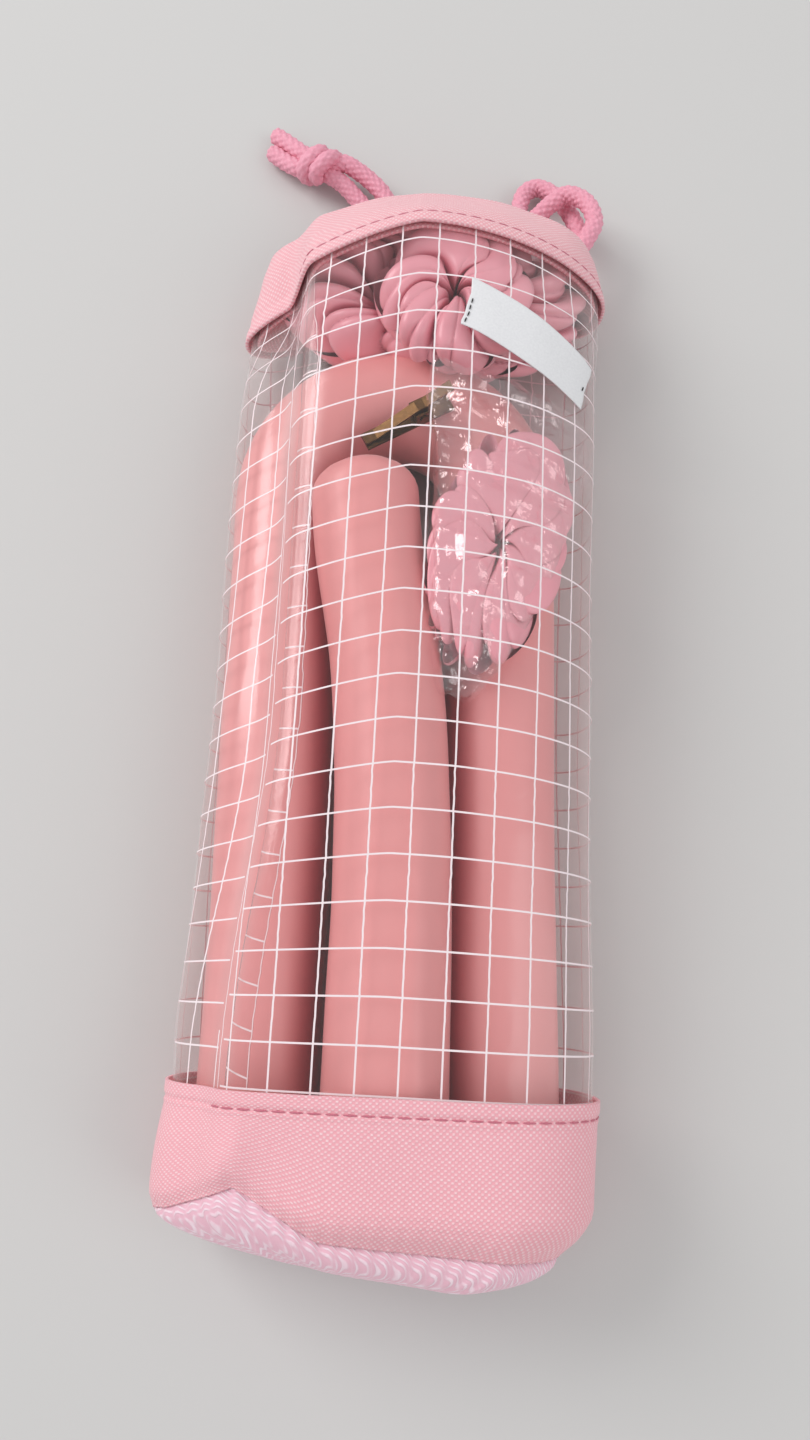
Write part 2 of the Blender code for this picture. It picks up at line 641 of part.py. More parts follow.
def clip_pieces(name, side_profile, width, cheek_low, cheek_high):
    """An arm: a bent plate with two cheeks, drilled for the pin. Its origin is on the pin."""
    bm = bmesh.new()
    top = [(x, z + CLIP_PLATE) for x, z in side_profile]
    loop = side_profile + top[::-1]
    face = bm.faces.new([bm.verts.new((x, -width / 2, z)) for x, z in loop])
    grown = bmesh.ops.extrude_face_region(bm, geom=[face])
    moved = [v for v in grown["geom"] if isinstance(v, bmesh.types.BMVert)]
    bmesh.ops.translate(bm, vec=(0, width, 0), verts=moved)
    arm = add_object(name, bm, GOLD)
    for side in (-1, 1):
        a, b = sorted((side * width / 2, side * (width / 2 - CHEEK)))
        cheek = box_object(
            "cheek",
            (CLIP_PIVOT.x - 1.9 * MM, a, cheek_low),
            (CLIP_PIVOT.x + 1.9 * MM, b, cheek_high),
            GOLD,
            PART,
        )
        boolean(arm, cheek, "UNION")
    drill = pin_cylinder("drill", CLIP_PIN + PIN_PLAY, 2 * CLIP_WIDTH, CUTTERS)
    boolean(arm, drill, "DIFFERENCE")
    place_on_pivot(arm)
    return arm


def pin_cylinder(name, radius, length, group, inner=0.0):
    """A cylinder on the clip's pin axis, or a ring where it has an inner radius."""
    bm = bmesh.new()
    turn = Matrix.Translation(CLIP_PIVOT) @ Matrix.Rotation(math.radians(90), 4, "X")
    bmesh.ops.create_cone(
        bm, cap_ends=True, segments=16, radius1=radius, radius2=radius, depth=length, matrix=turn
    )
    obj = add_object(name, bm, GOLD)
    if group is CUTTERS:
        PART.objects.unlink(obj)
        CUTTERS.objects.link(obj)
    if inner:
        boolean(obj, pin_cylinder("bore", inner, 2 * length, CUTTERS), "DIFFERENCE")
    return obj


def place_on_pivot(obj):
    """Move a piece from the clip's own frame to its place, with its origin on the pin."""
    obj.data.transform(Matrix.Translation(-CLIP_PIVOT))
    obj.matrix_world = clip_place() @ Matrix.Translation(CLIP_PIVOT)


def make_clip():
    half = CLIP_LENGTH / 2
    pivot = CLIP_PIVOT
    spring = 1.9 * MM
    lower = [(-half, 0.0), (half, 0.0)]
    rise = pivot.z + spring + GAP
    upper = [
        (-half, CLIP_PLATE + GAP),
        (-half + 3 * MM, CLIP_PLATE + GAP + 0.2 * MM),
        (pivot.x - 1 * MM, rise),
        (pivot.x + 1 * MM, rise + 0.2 * MM),
        (half, rise + 2.6 * MM),
    ]
    outer, inner = CLIP_WIDTH, CLIP_WIDTH - 2 * CHEEK - 2 * GAP
    clip_pieces("clip_lower_arm", lower, outer, CLIP_PLATE / 2, pivot.z + 1.7 * MM)
    clip_pieces("clip_upper_arm", upper, inner, pivot.z - 1.7 * MM, rise + CLIP_PLATE / 2)
    pin = pin_cylinder("clip_pin", CLIP_PIN, CLIP_WIDTH + 0.8 * MM, PART)
    place_on_pivot(pin)
    coil_length = inner - 2 * CHEEK - 2 * GAP
    coil = pin_cylinder("clip_spring", spring, coil_length, PART, inner=CLIP_PIN + PIN_PLAY)
    place_on_pivot(coil)


make_clear_wall()
make_side_seam()
make_base()
make_hem()
make_threads()
make_label()
make_cords()
make_rod()
make_scrunchies()
make_film_bag()
make_clip()
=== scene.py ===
# %% [markdown]
# # A clear drawstring pouch, packed with a satin curling set
# The pouch is a tube of clear vinyl with a printed grid, sewn to a canvas base and a canvas hem.
# The CAD model sets the sizes and the bodies. This script gives each piece its shown surface,
# which stays within about half a millimetre of the CAD model's box.

# %% Load the frame
import functools
import math
import random

import bmesh
import bpy
import numpy as np
from mathutils import Matrix, Vector


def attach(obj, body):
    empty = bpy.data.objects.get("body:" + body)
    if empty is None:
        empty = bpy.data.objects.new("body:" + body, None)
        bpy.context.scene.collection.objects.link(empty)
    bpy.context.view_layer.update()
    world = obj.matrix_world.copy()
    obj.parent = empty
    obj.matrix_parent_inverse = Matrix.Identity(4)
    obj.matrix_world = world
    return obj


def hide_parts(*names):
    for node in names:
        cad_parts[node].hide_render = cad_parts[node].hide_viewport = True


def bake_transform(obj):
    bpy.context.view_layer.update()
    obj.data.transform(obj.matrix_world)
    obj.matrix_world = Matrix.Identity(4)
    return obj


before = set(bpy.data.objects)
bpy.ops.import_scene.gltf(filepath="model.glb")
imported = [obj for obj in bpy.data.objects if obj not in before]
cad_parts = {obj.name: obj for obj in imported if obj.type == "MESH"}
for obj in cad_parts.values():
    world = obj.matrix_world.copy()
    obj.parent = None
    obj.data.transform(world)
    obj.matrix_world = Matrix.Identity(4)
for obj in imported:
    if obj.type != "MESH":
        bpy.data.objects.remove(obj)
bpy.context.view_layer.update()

MM = 0.001

# %% [markdown]
# ## Helpers for objects and points
# Every object stands at the origin, and the points of its mesh are moved instead. These
# functions put an object in the scene, and read and write its mesh's points and UV map.

# %% Object and point helpers
def add_object(name, data):
    made = bpy.data.objects.new(name, data)
    bpy.context.scene.collection.objects.link(made)
    return made


def read_points(mesh):
    flat = np.empty(len(mesh.vertices) * 3)
    mesh.vertices.foreach_get("co", flat)
    return flat.reshape(-1, 3)


def write_points(mesh, points):
    mesh.vertices.foreach_set("co", points.astype(float).ravel())
    mesh.update()


def write_uv(mesh, uv):
    """uv has one row per point, which goes to each face corner at that point."""
    corner = np.empty(len(mesh.loops), int)
    mesh.loops.foreach_get("vertex_index", corner)
    layer = mesh.uv_layers.get("UVMap") or mesh.uv_layers.new(name="UVMap")
    layer.data.foreach_set("uv", uv[corner].ravel())


print("object and point helpers ready")

# %% [markdown]
# ## The camera
# The pouch is seen from above, a little from its base. The lens is slightly longer than a
# phone's, and the view turns a few degrees about the vertical, so the pouch leans to the right.

# %% Place the camera
camera_data = bpy.data.cameras.new("camera")
camera_data.sensor_width = 36.0
camera_data.lens = 28.25
camera_data.clip_start = 0.01
camera = add_object("camera", camera_data)
camera.location = (0.0043, -0.0628, 0.2884)
camera.rotation_euler = (math.radians(12.4), 0, math.radians(2.78))
bpy.context.scene.camera = camera
bpy.context.scene.view_settings.view_transform = "Standard"
print("camera at", tuple(camera.location))

# %% [markdown]
# ## Helpers for materials
# One function turns a written colour to linear light, one adds a node with its settings and
# links, and one starts a material and binds that second function to it.

# %% Material helpers
def linear(text):
    """An sRGB hex colour as linear RGBA."""
    parts = [int(text[i:i + 2], 16) / 255 for i in (1, 3, 5)]
    return (*[v / 12.92 if v <= 0.04045 else ((v + 0.055) / 1.055) ** 2.4 for v in parts], 1.0)


def add_node(tree, kind, settings=None, inputs=None):
    """A shader node with its settings. An input is a value, or a socket to link."""
    node = tree.nodes.new("ShaderNode" + kind)
    for key, value in (settings or {}).items():
        setattr(node, key, value)
    for key, value in (inputs or {}).items():
        if isinstance(value, bpy.types.NodeSocket):
            tree.links.new(value, node.inputs[key])
        else:
            node.inputs[key].default_value = value
    return node


def start_material(name):
    material = bpy.data.materials.new(name)
    material.use_nodes = True
    material.node_tree.nodes.clear()
    return material, functools.partial(add_node, material.node_tree)


print("material helpers ready")

# %% [markdown]
# ## Plain weave canvas
# Heavy polyester canvas in plain weave: each thread goes over one and under the next, so raised
# dots stand in a checkerboard. Two sine waves multiplied give those dots, as bumps and as a painted
# highlight that makes their crowns paler. The pattern reads the piece's own UV map, which is in
# metres along the cloth.

# %% Canvas
def canvas(name, ground, painted_crown_highlight, pitch, turn=0.0, twill=False):
    """Woven polyester canvas. pitch is the distance of two threads that lie on top, in metres. The
    raised thread crowns get the second colour as a painted highlight.
    """
    material, add = start_material(name)
    cloth = add("TexCoord").outputs["UV"]
    turned = add("Mapping", inputs={"Vector": cloth, "Rotation": (0, 0, turn)})
    drift = add("TexNoise", inputs={"Vector": cloth, "Scale": 90.0, "Detail": 2.0})
    sway = add(
        "VectorMath", {"operation": "MULTIPLY_ADD"},
        {0: drift.outputs["Color"], 1: (0.0009, 0.0009, 0.0), 2: turned.outputs[0]},
    )
    axes = add("SeparateXYZ", inputs={0: sway.outputs[0]})
    waves = []
    for axis, stretch in (("X", 1.0), ("Y", 0.12 if twill else 1.0)):
        phase = add(
            "Math", {"operation": "MULTIPLY"},
            {0: axes.outputs[axis], 1: 2 * math.pi / pitch * stretch},
        )
        wave = add("Math", {"operation": "SINE"}, {0: phase.outputs[0]})
        waves.append(wave.outputs[0])
    product = add("Math", {"operation": "MULTIPLY"}, {0: waves[0], 1: waves[1]}).outputs[0]
    dots = add(
        "MapRange", {"interpolation_type": "SMOOTHSTEP"},
        {"Value": product, "From Min": -0.25, "From Max": 0.75},
    ).outputs["Result"]
    blotch = add("TexNoise", inputs={"Vector": cloth, "Scale": 700.0, "Detail": 2.0}).outputs["Fac"]
    uneven = add(
        "MapRange",
        inputs={"Value": blotch, "From Min": 0.3, "From Max": 0.7, "To Min": 0.5, "To Max": 1.0},
    ).outputs["Result"]
    # Painted highlight: the raised thread crowns are painted paler, by a random amount.
    lit = add("Math", {"operation": "MULTIPLY"}, {0: dots, 1: uneven}).outputs[0]
    colour = add(
        "Mix", {"data_type": "RGBA"},
        {"Factor": lit, "A": linear(ground), "B": linear(painted_crown_highlight)},
    )
    bump = add("Bump", inputs={"Height": dots, "Strength": 0.55, "Distance": 0.00022})
    shader = add(
        "BsdfPrincipled",
        inputs={
            "Base Color": colour.outputs["Result"], "Roughness": 0.75,
            "Normal": bump.outputs[0], "Sheen Weight": 0.25, "Sheen Roughness": 0.4,
        },
    )
    add("OutputMaterial", inputs={"Surface": shader.outputs[0]})
    return material


# Each canvas's second colour is the painted highlight on its thread crowns.
BAND_CANVAS = canvas("polyester canvas of the base", "#F0A8B2", "#FCD6DA", 1.35 * MM)
HEM_CANVAS = canvas("polyester canvas of the hem", "#EFACB4", "#FCD9DC", 1.25 * MM)
DISC_CANVAS = canvas("canvas on the bias", "#F0BCCB", "#FBE6EE", 0.8 * MM, math.radians(62), True)
print("canvas", BAND_CANVAS.name, HEM_CANVAS.name, DISC_CANVAS.name)

# %% [markdown]
# ## Satin, cord, tape, thread and metal
# Satin is a float weave of fine filament: it is smooth, with a broad silky highlight and a soft
# edge glow. Its folds are darkened with painted shade. The cord is braided polyester. The clip is
# gold-plated steel.

# %% Satin
def satin(name, colour, dark_grain_and_painted_shade, roughness, reach):
    """Polyester satin. The second colour is painted shade: ambient occlusion mixes it in where
    folds are closer together than reach.
    """
    material, add = start_material(name)
    place = add("TexCoord").outputs["Object"]
    stretched = add("Mapping", inputs={"Vector": place, "Scale": (1, 0.35, 1)})
    soft = add(
        "TexNoise",
        inputs={"Vector": stretched.outputs[0], "Scale": 70.0, "Detail": 2.0, "Distortion": 0.6},
    ).outputs["Fac"]
    # Painted shade: ambient occlusion darkens the colour in the folds and where pieces lie close
    # together.
    openness = add(
        "AmbientOcclusion", {"samples": 6, "only_local": True}, {"Distance": reach}
    ).outputs["AO"]
    shade = add(
        "MapRange", {"interpolation_type": "SMOOTHSTEP"},
        {"Value": openness, "From Min": 0.15, "From Max": 0.85},
    ).outputs["Result"]
    tone = add(
        "Mix", {"data_type": "RGBA"},
        {"Factor": shade, "A": linear(dark_grain_and_painted_shade), "B": linear(colour)},
    )
    bump = add("Bump", inputs={"Height": soft, "Strength": 0.3, "Distance": 0.0015})
    shader = add(
        "BsdfPrincipled",
        inputs={
            "Base Color": tone.outputs["Result"], "Roughness": roughness,
            "Normal": bump.outputs[0], "Sheen Weight": 0.3, "Sheen Roughness": 0.35,
            "Specular IOR Level": 0.6,
        },
    )
    add("OutputMaterial", inputs={"Surface": shader.outputs[0]})
    return material


# The second colour of each satin is painted shade in its folds and where its legs and rings meet.
ROD_SATIN = satin("satin of the rod", "#F3A9A8", "#B23341", 0.42, 14 * MM)
SCRUNCHIE_SATIN = satin("satin of the scrunchies", "#F8B1BD", "#C4506A", 0.26, 4 * MM)

# %% Cord, tape, thread and gold
def fibre(name, colour, dark_grain_and_painted_shade, scale, roughness, strength=0.3, metallic=0.0):
    """A fine fibre or brushed finish: a small noise in tone and height."""
    material, add = start_material(name)
    place = add("TexCoord").outputs["Object"]
    grain = add("TexNoise", inputs={"Vector": place, "Scale": scale, "Detail": 3.0}).outputs["Fac"]
    tone = add(
        "Mix", {"data_type": "RGBA"},
        {"Factor": grain, "A": linear(dark_grain_and_painted_shade), "B": linear(colour)},
    )
    bump = add("Bump", inputs={"Height": grain, "Strength": strength, "Distance": 0.0002})
    shader = add(
        "BsdfPrincipled",
        inputs={
            "Base Color": tone.outputs["Result"], "Roughness": roughness,
            "Metallic": metallic, "Normal": bump.outputs[0],
        },
    )
    add("OutputMaterial", inputs={"Surface": shader.outputs[0]})
    return material


CORD_BRAID = fibre("braided polyester cord", "#F7B4C4", "#E08CA2", 1400.0, 0.6)
SEWING_THREAD = fibre("pink sewing thread", "#D98595", "#B4586C", 2500.0, 0.6)
DARK_THREAD = fibre("dark tacking thread", "#3A3434", "#221E1E", 2500.0, 0.7)
WOVEN_TAPE = fibre("white woven tape", "#EEEDEE", "#DCDBDD", 1800.0, 0.45)
GOLD_PLATE = fibre("gold-plated spring steel", "#8F6F48", "#554028", 900.0, 0.34, 0.1, 1.0)
PRINT_INK = fibre("white printing ink", "#F6EAEC", "#F0DDE0", 900.0, 0.5, 0.05)
print("satin, cord, tape, thread and metal ready")

# %% [markdown]
# ## Clear vinyl and clear film
# Plasticised PVC sheet lets nearly all light through and mirrors a little of the room, more at
# a slant. A Fresnel mix of a Transparent and a Glossy shader does that, and it lets the lamps
# reach what is packed behind it, which solid glass would not. A thin milky share gives the
# haze that shows at the edges of the tube. The sheet's far side only lets light through.

# %% Vinyl and film
def clear_sheet(name, tint, haze, roughness, ripple_scale, ripple, ior):
    """A clear plastic sheet. haze is the share that scatters light at a slant."""
    material, add = start_material(name)
    place = add("TexCoord").outputs["Object"]
    ripples = add(
        "TexNoise",
        inputs={"Vector": place, "Scale": ripple_scale, "Detail": 3.0, "Distortion": 0.8},
    ).outputs["Fac"]
    bump = add("Bump", inputs={"Height": ripples, "Strength": ripple, "Distance": 0.001}).outputs[0]
    through = add("BsdfTransparent", inputs={"Color": linear(tint)})
    milky = add("BsdfDiffuse", inputs={"Color": linear("#FBF7F6")})
    mirror = add(
        "BsdfGlossy",
        inputs={"Color": linear("#FFFFFF"), "Roughness": roughness, "Normal": bump},
    )
    behind = add("NewGeometry").outputs["Backfacing"]
    slant = add("LayerWeight", inputs={"Blend": 0.4}).outputs["Facing"]
    slant_haze = add(
        "MapRange", {"interpolation_type": "SMOOTHSTEP"},
        {"Value": slant, "From Min": 0.1, "From Max": 1.0, "To Min": 0.01, "To Max": haze},
    ).outputs["Result"]
    fresnel = add("Fresnel", inputs={"IOR": ior, "Normal": bump}).outputs[0]
    shares = [
        add("MapRange", inputs={"Value": behind, "To Min": share, "To Max": 0.0}).outputs["Result"]
        for share in (slant_haze, fresnel)
    ]
    body = add("MixShader", inputs={0: shares[0], 1: through.outputs[0], 2: milky.outputs[0]})
    shader = add("MixShader", inputs={0: shares[1], 1: body.outputs[0], 2: mirror.outputs[0]})
    add("OutputMaterial", inputs={"Surface": shader.outputs[0]})
    return material


VINYL_SHEET = clear_sheet("clear plasticised vinyl", "#FCF9F9", 0.22, 0.14, 45.0, 0.3, 1.47)
BAG_FILM = clear_sheet("clear polypropylene film", "#FDF9FA", 0.10, 0.10, 160.0, 0.6, 2.5)
bpy.context.scene.cycles.transparent_max_bounces = 32
print("clear sheets ready")

# %% [markdown]
# ## The section of the tube
# The pouch is a tube whose section changes from the base to the mouth. The rules follow the CAD
# model's: half widths, height, a step beside the side seam and an inset from the outer
# surface. The mouth is a rounder arch here, and its two sides lie back towards the base.

# %% Sizes
LENGTH, HEM_WIDTH, CLEAR_LENGTH, BAND_WIDTH = 268 * MM, 19 * MM, 204 * MM, 36.5 * MM
HALF_WIDTH, LIE_HEIGHT, MOUTH_HEIGHT = 46.5 * MM, 46 * MM, 34 * MM
MOUTH_Y = LENGTH / 2
HEM_EDGE_Y = MOUTH_Y - HEM_WIDTH
BAND_EDGE_Y = HEM_EDGE_Y - CLEAR_LENGTH
BASE_SEAM_Y = BAND_EDGE_Y - BAND_WIDTH
CANVAS, VINYL, WALL_INSET = 0.8 * MM, 0.4 * MM, 1.2 * MM
FLOOR_POWER, SIDE_POWER, FOLD_WIDTH = 8.0, 2.3, 8 * MM
FINE = 240

# y, left and right half width, height, left-hand dip, seam x, squareness of the top, waist
H = HALF_WIDTH
STATIONS = [
    (BASE_SEAM_Y, H + 3.5 * MM, H - 5.5 * MM, LIE_HEIGHT - 7 * MM, 0.06, -36 * MM, 3.4, 0.5),
    (BASE_SEAM_Y + 14 * MM, H + 3.0 * MM, H + 1.5 * MM, LIE_HEIGHT, 0.08, -36 * MM, 3.4, 0.5),
    (BAND_EDGE_Y, H + 1.5 * MM, H + 2.0 * MM, LIE_HEIGHT, 0.12, -35 * MM, 3.4, 0.5),
    (0.0, H - 0.5 * MM, H, LIE_HEIGHT, 0.16, -29 * MM, 3.2, 0.5),
    (HEM_EDGE_Y - 32 * MM, H, H + 0.5 * MM, LIE_HEIGHT, 0.2, -30 * MM, 2.7, 0.45),
    (HEM_EDGE_Y, H, H + 2.0 * MM, LIE_HEIGHT, 0.38, -31 * MM, 1.8, 0.4),
    (MOUTH_Y, H - 4.0 * MM, H - 0.5 * MM, MOUTH_HEIGHT, 0.2, -31 * MM, 2.4, 0.4),
]
LEFT_RETREAT, RIGHT_RETREAT = 15.5 * MM, 5.0 * MM
RETREAT_FROM_Y, RETREAT_RUN = -100 * MM, 130 * MM
print("clear part", round((HEM_EDGE_Y - BAND_EDGE_Y) / MM), "mm long")

# %% The section rules
def ease(t):
    t = np.clip(t, 0, 1)
    return t * t * (3 - 2 * t)


def at_station(y):
    """The station's values at a place along Y."""
    places = [row[0] for row in STATIONS]
    y = min(max(y, places[0]), places[-1])
    k = min(sum(place <= y for place in places), len(places) - 1) - 1
    t = ease((y - places[k]) / (places[k + 1] - places[k]))
    return [a + (b - a) * t for a, b in zip(STATIONS[k][1:], STATIONS[k + 1][1:])]


def spread_evenly(points, count):
    """The same closed outline with count points at equal distances, from its first."""
    closed = np.vstack([points, points[:1]])
    run = np.concatenate([[0], np.cumsum(np.linalg.norm(np.diff(closed, axis=0), axis=1))])
    wanted = np.arange(count) / count * run[-1]
    return np.stack([np.interp(wanted, run, closed[:, i]) for i in (0, 1)], 1)


def outline(y, inset):
    """Section as (x, z), clockwise from the side seam, moved inwards in small steps."""
    left, right, height, dip, seam_x, power, waist = at_station(y)
    angle = np.linspace(2 * np.pi, 0, 4 * FINE, endpoint=False)
    c, s = np.cos(angle), np.sin(angle)
    corner = 2 / np.where(s > 0, power, FLOOR_POWER)
    side = 2 / np.where(s > 0, min(power, SIDE_POWER), SIDE_POWER)
    x = np.where(c > 0, right, left) * np.sign(c) * np.abs(c) ** corner
    z = height * (waist + np.where(s > 0, 1 - waist, waist) * np.sign(s) * np.abs(s) ** side)
    z = z * (1 - dip * ease((seam_x + FOLD_WIDTH / 2 - x) / FOLD_WIDTH))
    start = int(np.argmin(np.abs(x - seam_x) + (s < 0)))
    points = spread_evenly(np.roll(np.stack([x, z], 1), -start, axis=0), FINE)
    steps = math.ceil(abs(inset) / (0.4 * MM) - 1e-6)
    for _ in range(steps):
        tangent = np.roll(points, -1, axis=0) - np.roll(points, 1, axis=0)
        tangent /= np.linalg.norm(tangent, axis=1)[:, None]
        points = points + np.stack([tangent[:, 1], -tangent[:, 0]], 1) * inset / steps
        points = (np.roll(points, 1, axis=0) + 6 * points + np.roll(points, -1, axis=0)) / 8
        points = spread_evenly(points, FINE)
    return points


LEVEL_STEP = 2 * MM
LEVELS = np.arange(BASE_SEAM_Y, MOUTH_Y + 1 * MM, LEVEL_STEP)


@functools.cache
def skin(inset):
    """Sections at all levels for one inset."""
    return np.array([outline(y, inset) for y in LEVELS])


def retreat(x, y):
    """How far the gathered end lies back, more to either side of its middle."""
    left = LEFT_RETREAT * (np.abs(x) / HALF_WIDTH) ** 1.15
    right = RIGHT_RETREAT * (np.abs(x) / HALF_WIDTH) ** 2
    left = left * (1 - 0.4 * ease((y - HEM_EDGE_Y) / HEM_WIDTH))
    return np.where(x < 0, left, right) * ease((y - RETREAT_FROM_Y) / RETREAT_RUN)


def on_tube(share, y, inset=0.0, out=0.0):
    """Points on the tube: share 0 to 1 goes round it from the side seam. out lifts them off it."""
    table = skin(inset)
    share, y = np.broadcast_arrays(np.asarray(share, float), np.asarray(y, float))
    row = np.clip((y - LEVELS[0]) / (LEVELS[1] - LEVELS[0]), 0, len(LEVELS) - 1.001)
    col = (share % 1) * FINE
    r, c = row.astype(int), col.astype(int) % FINE
    fr, fc = (row - r)[:, None], (col - np.floor(col))[:, None]
    d = (c + 1) % FINE
    low = table[r, c] * (1 - fc) + table[r, d] * fc
    high = table[r + 1, c] * (1 - fc) + table[r + 1, d] * fc
    xz = low * (1 - fr) + high * fr
    before, after = table[r, (c - 2) % FINE], table[r, (c + 3) % FINE]
    along = after - before
    along /= np.linalg.norm(along, axis=1)[:, None]
    outward = np.stack([-along[:, 1], along[:, 0]], 1)
    xz = xz + outward * np.broadcast_to(out, share.shape)[:, None]
    return np.stack([xz[:, 0], y - retreat(xz[:, 0], y), xz[:, 1]], 1)


GIRTHS = np.linalg.norm(np.roll(skin(0.0), -1, axis=1) - skin(0.0), axis=2).sum(1)


def girth(y):
    return np.interp(y, LEVELS, GIRTHS)


def share_at_x(y, x):
    """The share round the tube where its top passes a given x."""
    shares = []
    for level in np.atleast_1d(y):
        nearest = round((level - LEVELS[0]) / LEVEL_STEP)
        row = skin(0.0)[int(np.clip(nearest, 0, len(LEVELS) - 1))]
        top = row[: FINE // 2]
        shares.append(np.interp(x, top[:, 0], np.arange(FINE // 2) / FINE))
    return np.array(shares)


CEILING_X = np.arange(-52, 53) * MM
LINING_INSET = 2.2 * MM


def ceiling_table():
    """Height of the vinyl's inner face, by level and by x in steps of 1 mm."""
    heights = []
    for row in skin(LINING_INSET):
        top = row[row[:, 1] > 0.45 * row[:, 1].max()]
        top = top[np.argsort(top[:, 0])]
        heights.append(np.interp(CEILING_X, top[:, 0], top[:, 1]))
    return np.array(heights)


CEILING = ceiling_table()


def press_under_wall(piece, soft, gap):
    """Soft contents flatten against the vinyl where they would pass through it."""
    p = read_points(piece.data)
    row = (p[:, 1] + retreat(p[:, 0], p[:, 1]) - LEVELS[0]) / (LEVELS[1] - LEVELS[0])
    row = np.clip(row, 0, len(LEVELS) - 1.001)
    col = np.clip((p[:, 0] - CEILING_X[0]) / MM, 0, len(CEILING_X) - 1.001)
    r, c = row.astype(int), col.astype(int)
    low = CEILING[r, c] + (CEILING[r, c + 1] - CEILING[r, c]) * (col - c)
    high = CEILING[r + 1, c] + (CEILING[r + 1, c + 1] - CEILING[r + 1, c]) * (col - c)
    limit = low + (high - low) * (row - r) - gap
    over = np.maximum(p[:, 2] - (limit - soft), 0)
    p[:, 2] = p[:, 2] - over + soft * (1 - np.exp(-over / soft))
    write_points(piece.data, p)


print("girth at the middle", round(float(girth(0.0)) / MM), "mm")

# %% [markdown]
# ## A grid that is moved into place
# Cloth, sheet and cord all start from the same thing: a flat grid made by one bmesh operator.
# Its points are then moved to where the piece is, and its UV map keeps the two distances along
# the cloth in metres, so that every weave has its real scale.

# %% Grid helper
def moved_grid(name, material, columns, rows, u_range, v_range, place, scale=(1.0, 1.0)):
    """A grid of columns by rows whose points go to place(u, v). scale turns u and v to metres."""
    bm = bmesh.new()
    bmesh.ops.create_grid(bm, x_segments=columns, y_segments=rows, size=0.5)
    mesh = bpy.data.meshes.new(name)
    bm.to_mesh(mesh)
    bm.free()
    flat = read_points(mesh)[:, :2]
    unit = (flat - flat.min(0)) / (flat.max(0) - flat.min(0))
    u = u_range[0] + unit[:, 0] * (u_range[1] - u_range[0])
    v = v_range[0] + unit[:, 1] * (v_range[1] - v_range[0])
    write_points(mesh, place(u, v))
    write_uv(mesh, np.stack([u * scale[0], v * scale[1]], 1))
    mesh.materials.append(material)
    bm = bmesh.new()
    bm.from_mesh(mesh)
    bmesh.ops.remove_doubles(bm, verts=bm.verts, dist=2e-6)
    bmesh.ops.recalc_face_normals(bm, faces=bm.faces)
    bm.to_mesh(mesh)
    bm.free()
    mesh.shade_smooth()
    return add_object(name, mesh)


def thicken(piece, thickness, offset=-1.0):
    """Give a sheet its real thickness, inwards, and apply it."""
    solid = piece.modifiers.new("thickness", "SOLIDIFY")
    solid.thickness, solid.offset, solid.use_even_offset = thickness, offset, True
    piece.data = bpy.data.meshes.new_from_object(
        piece.evaluated_get(bpy.context.evaluated_depsgraph_get())
    )
    piece.modifiers.clear()


def settle(piece, body, slot, *nodes):
    """The piece rides on a body and stands for its CAD nodes, which it hides. slot is not used."""
    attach(piece, body)
    if nodes:
        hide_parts(*nodes)
    return piece


def join(pieces, name):
    """One mesh from several, which are removed."""
    bm = bmesh.new()
    for piece in pieces:
        bm.from_mesh(piece.data)
    mesh = pieces[0].data.copy()
    mesh.name = name
    bm.to_mesh(mesh)
    bm.free()
    whole = add_object(name, mesh)
    for piece in pieces:
        bpy.data.objects.remove(piece, do_unlink=True)
    return whole


def ripple(share, along, seed, most=6, waves=7):
    """A smooth random height from -1 to 1. It meets itself after one whole turn of share."""
    chance = random.Random(seed)
    total = np.zeros(np.broadcast(share, along).shape)
    for _ in range(waves):
        turns, climb = chance.randint(-most, most), chance.uniform(-1, 1)
        phase = chance.uniform(0, 2 * math.pi)
        total = total + np.sin(2 * math.pi * (turns * share + climb * along) + phase)
    return total / waves


print("grid helper ready")

# %% [markdown]
# ## The drawcords
# Each free length of cord follows the CAD route and runs on into its knot. Braided
# cord shows plump lozenges where one strand passes over another. Two sets of diagonal ribs
# multiplied give them, and the lozenges are real relief on the tube.

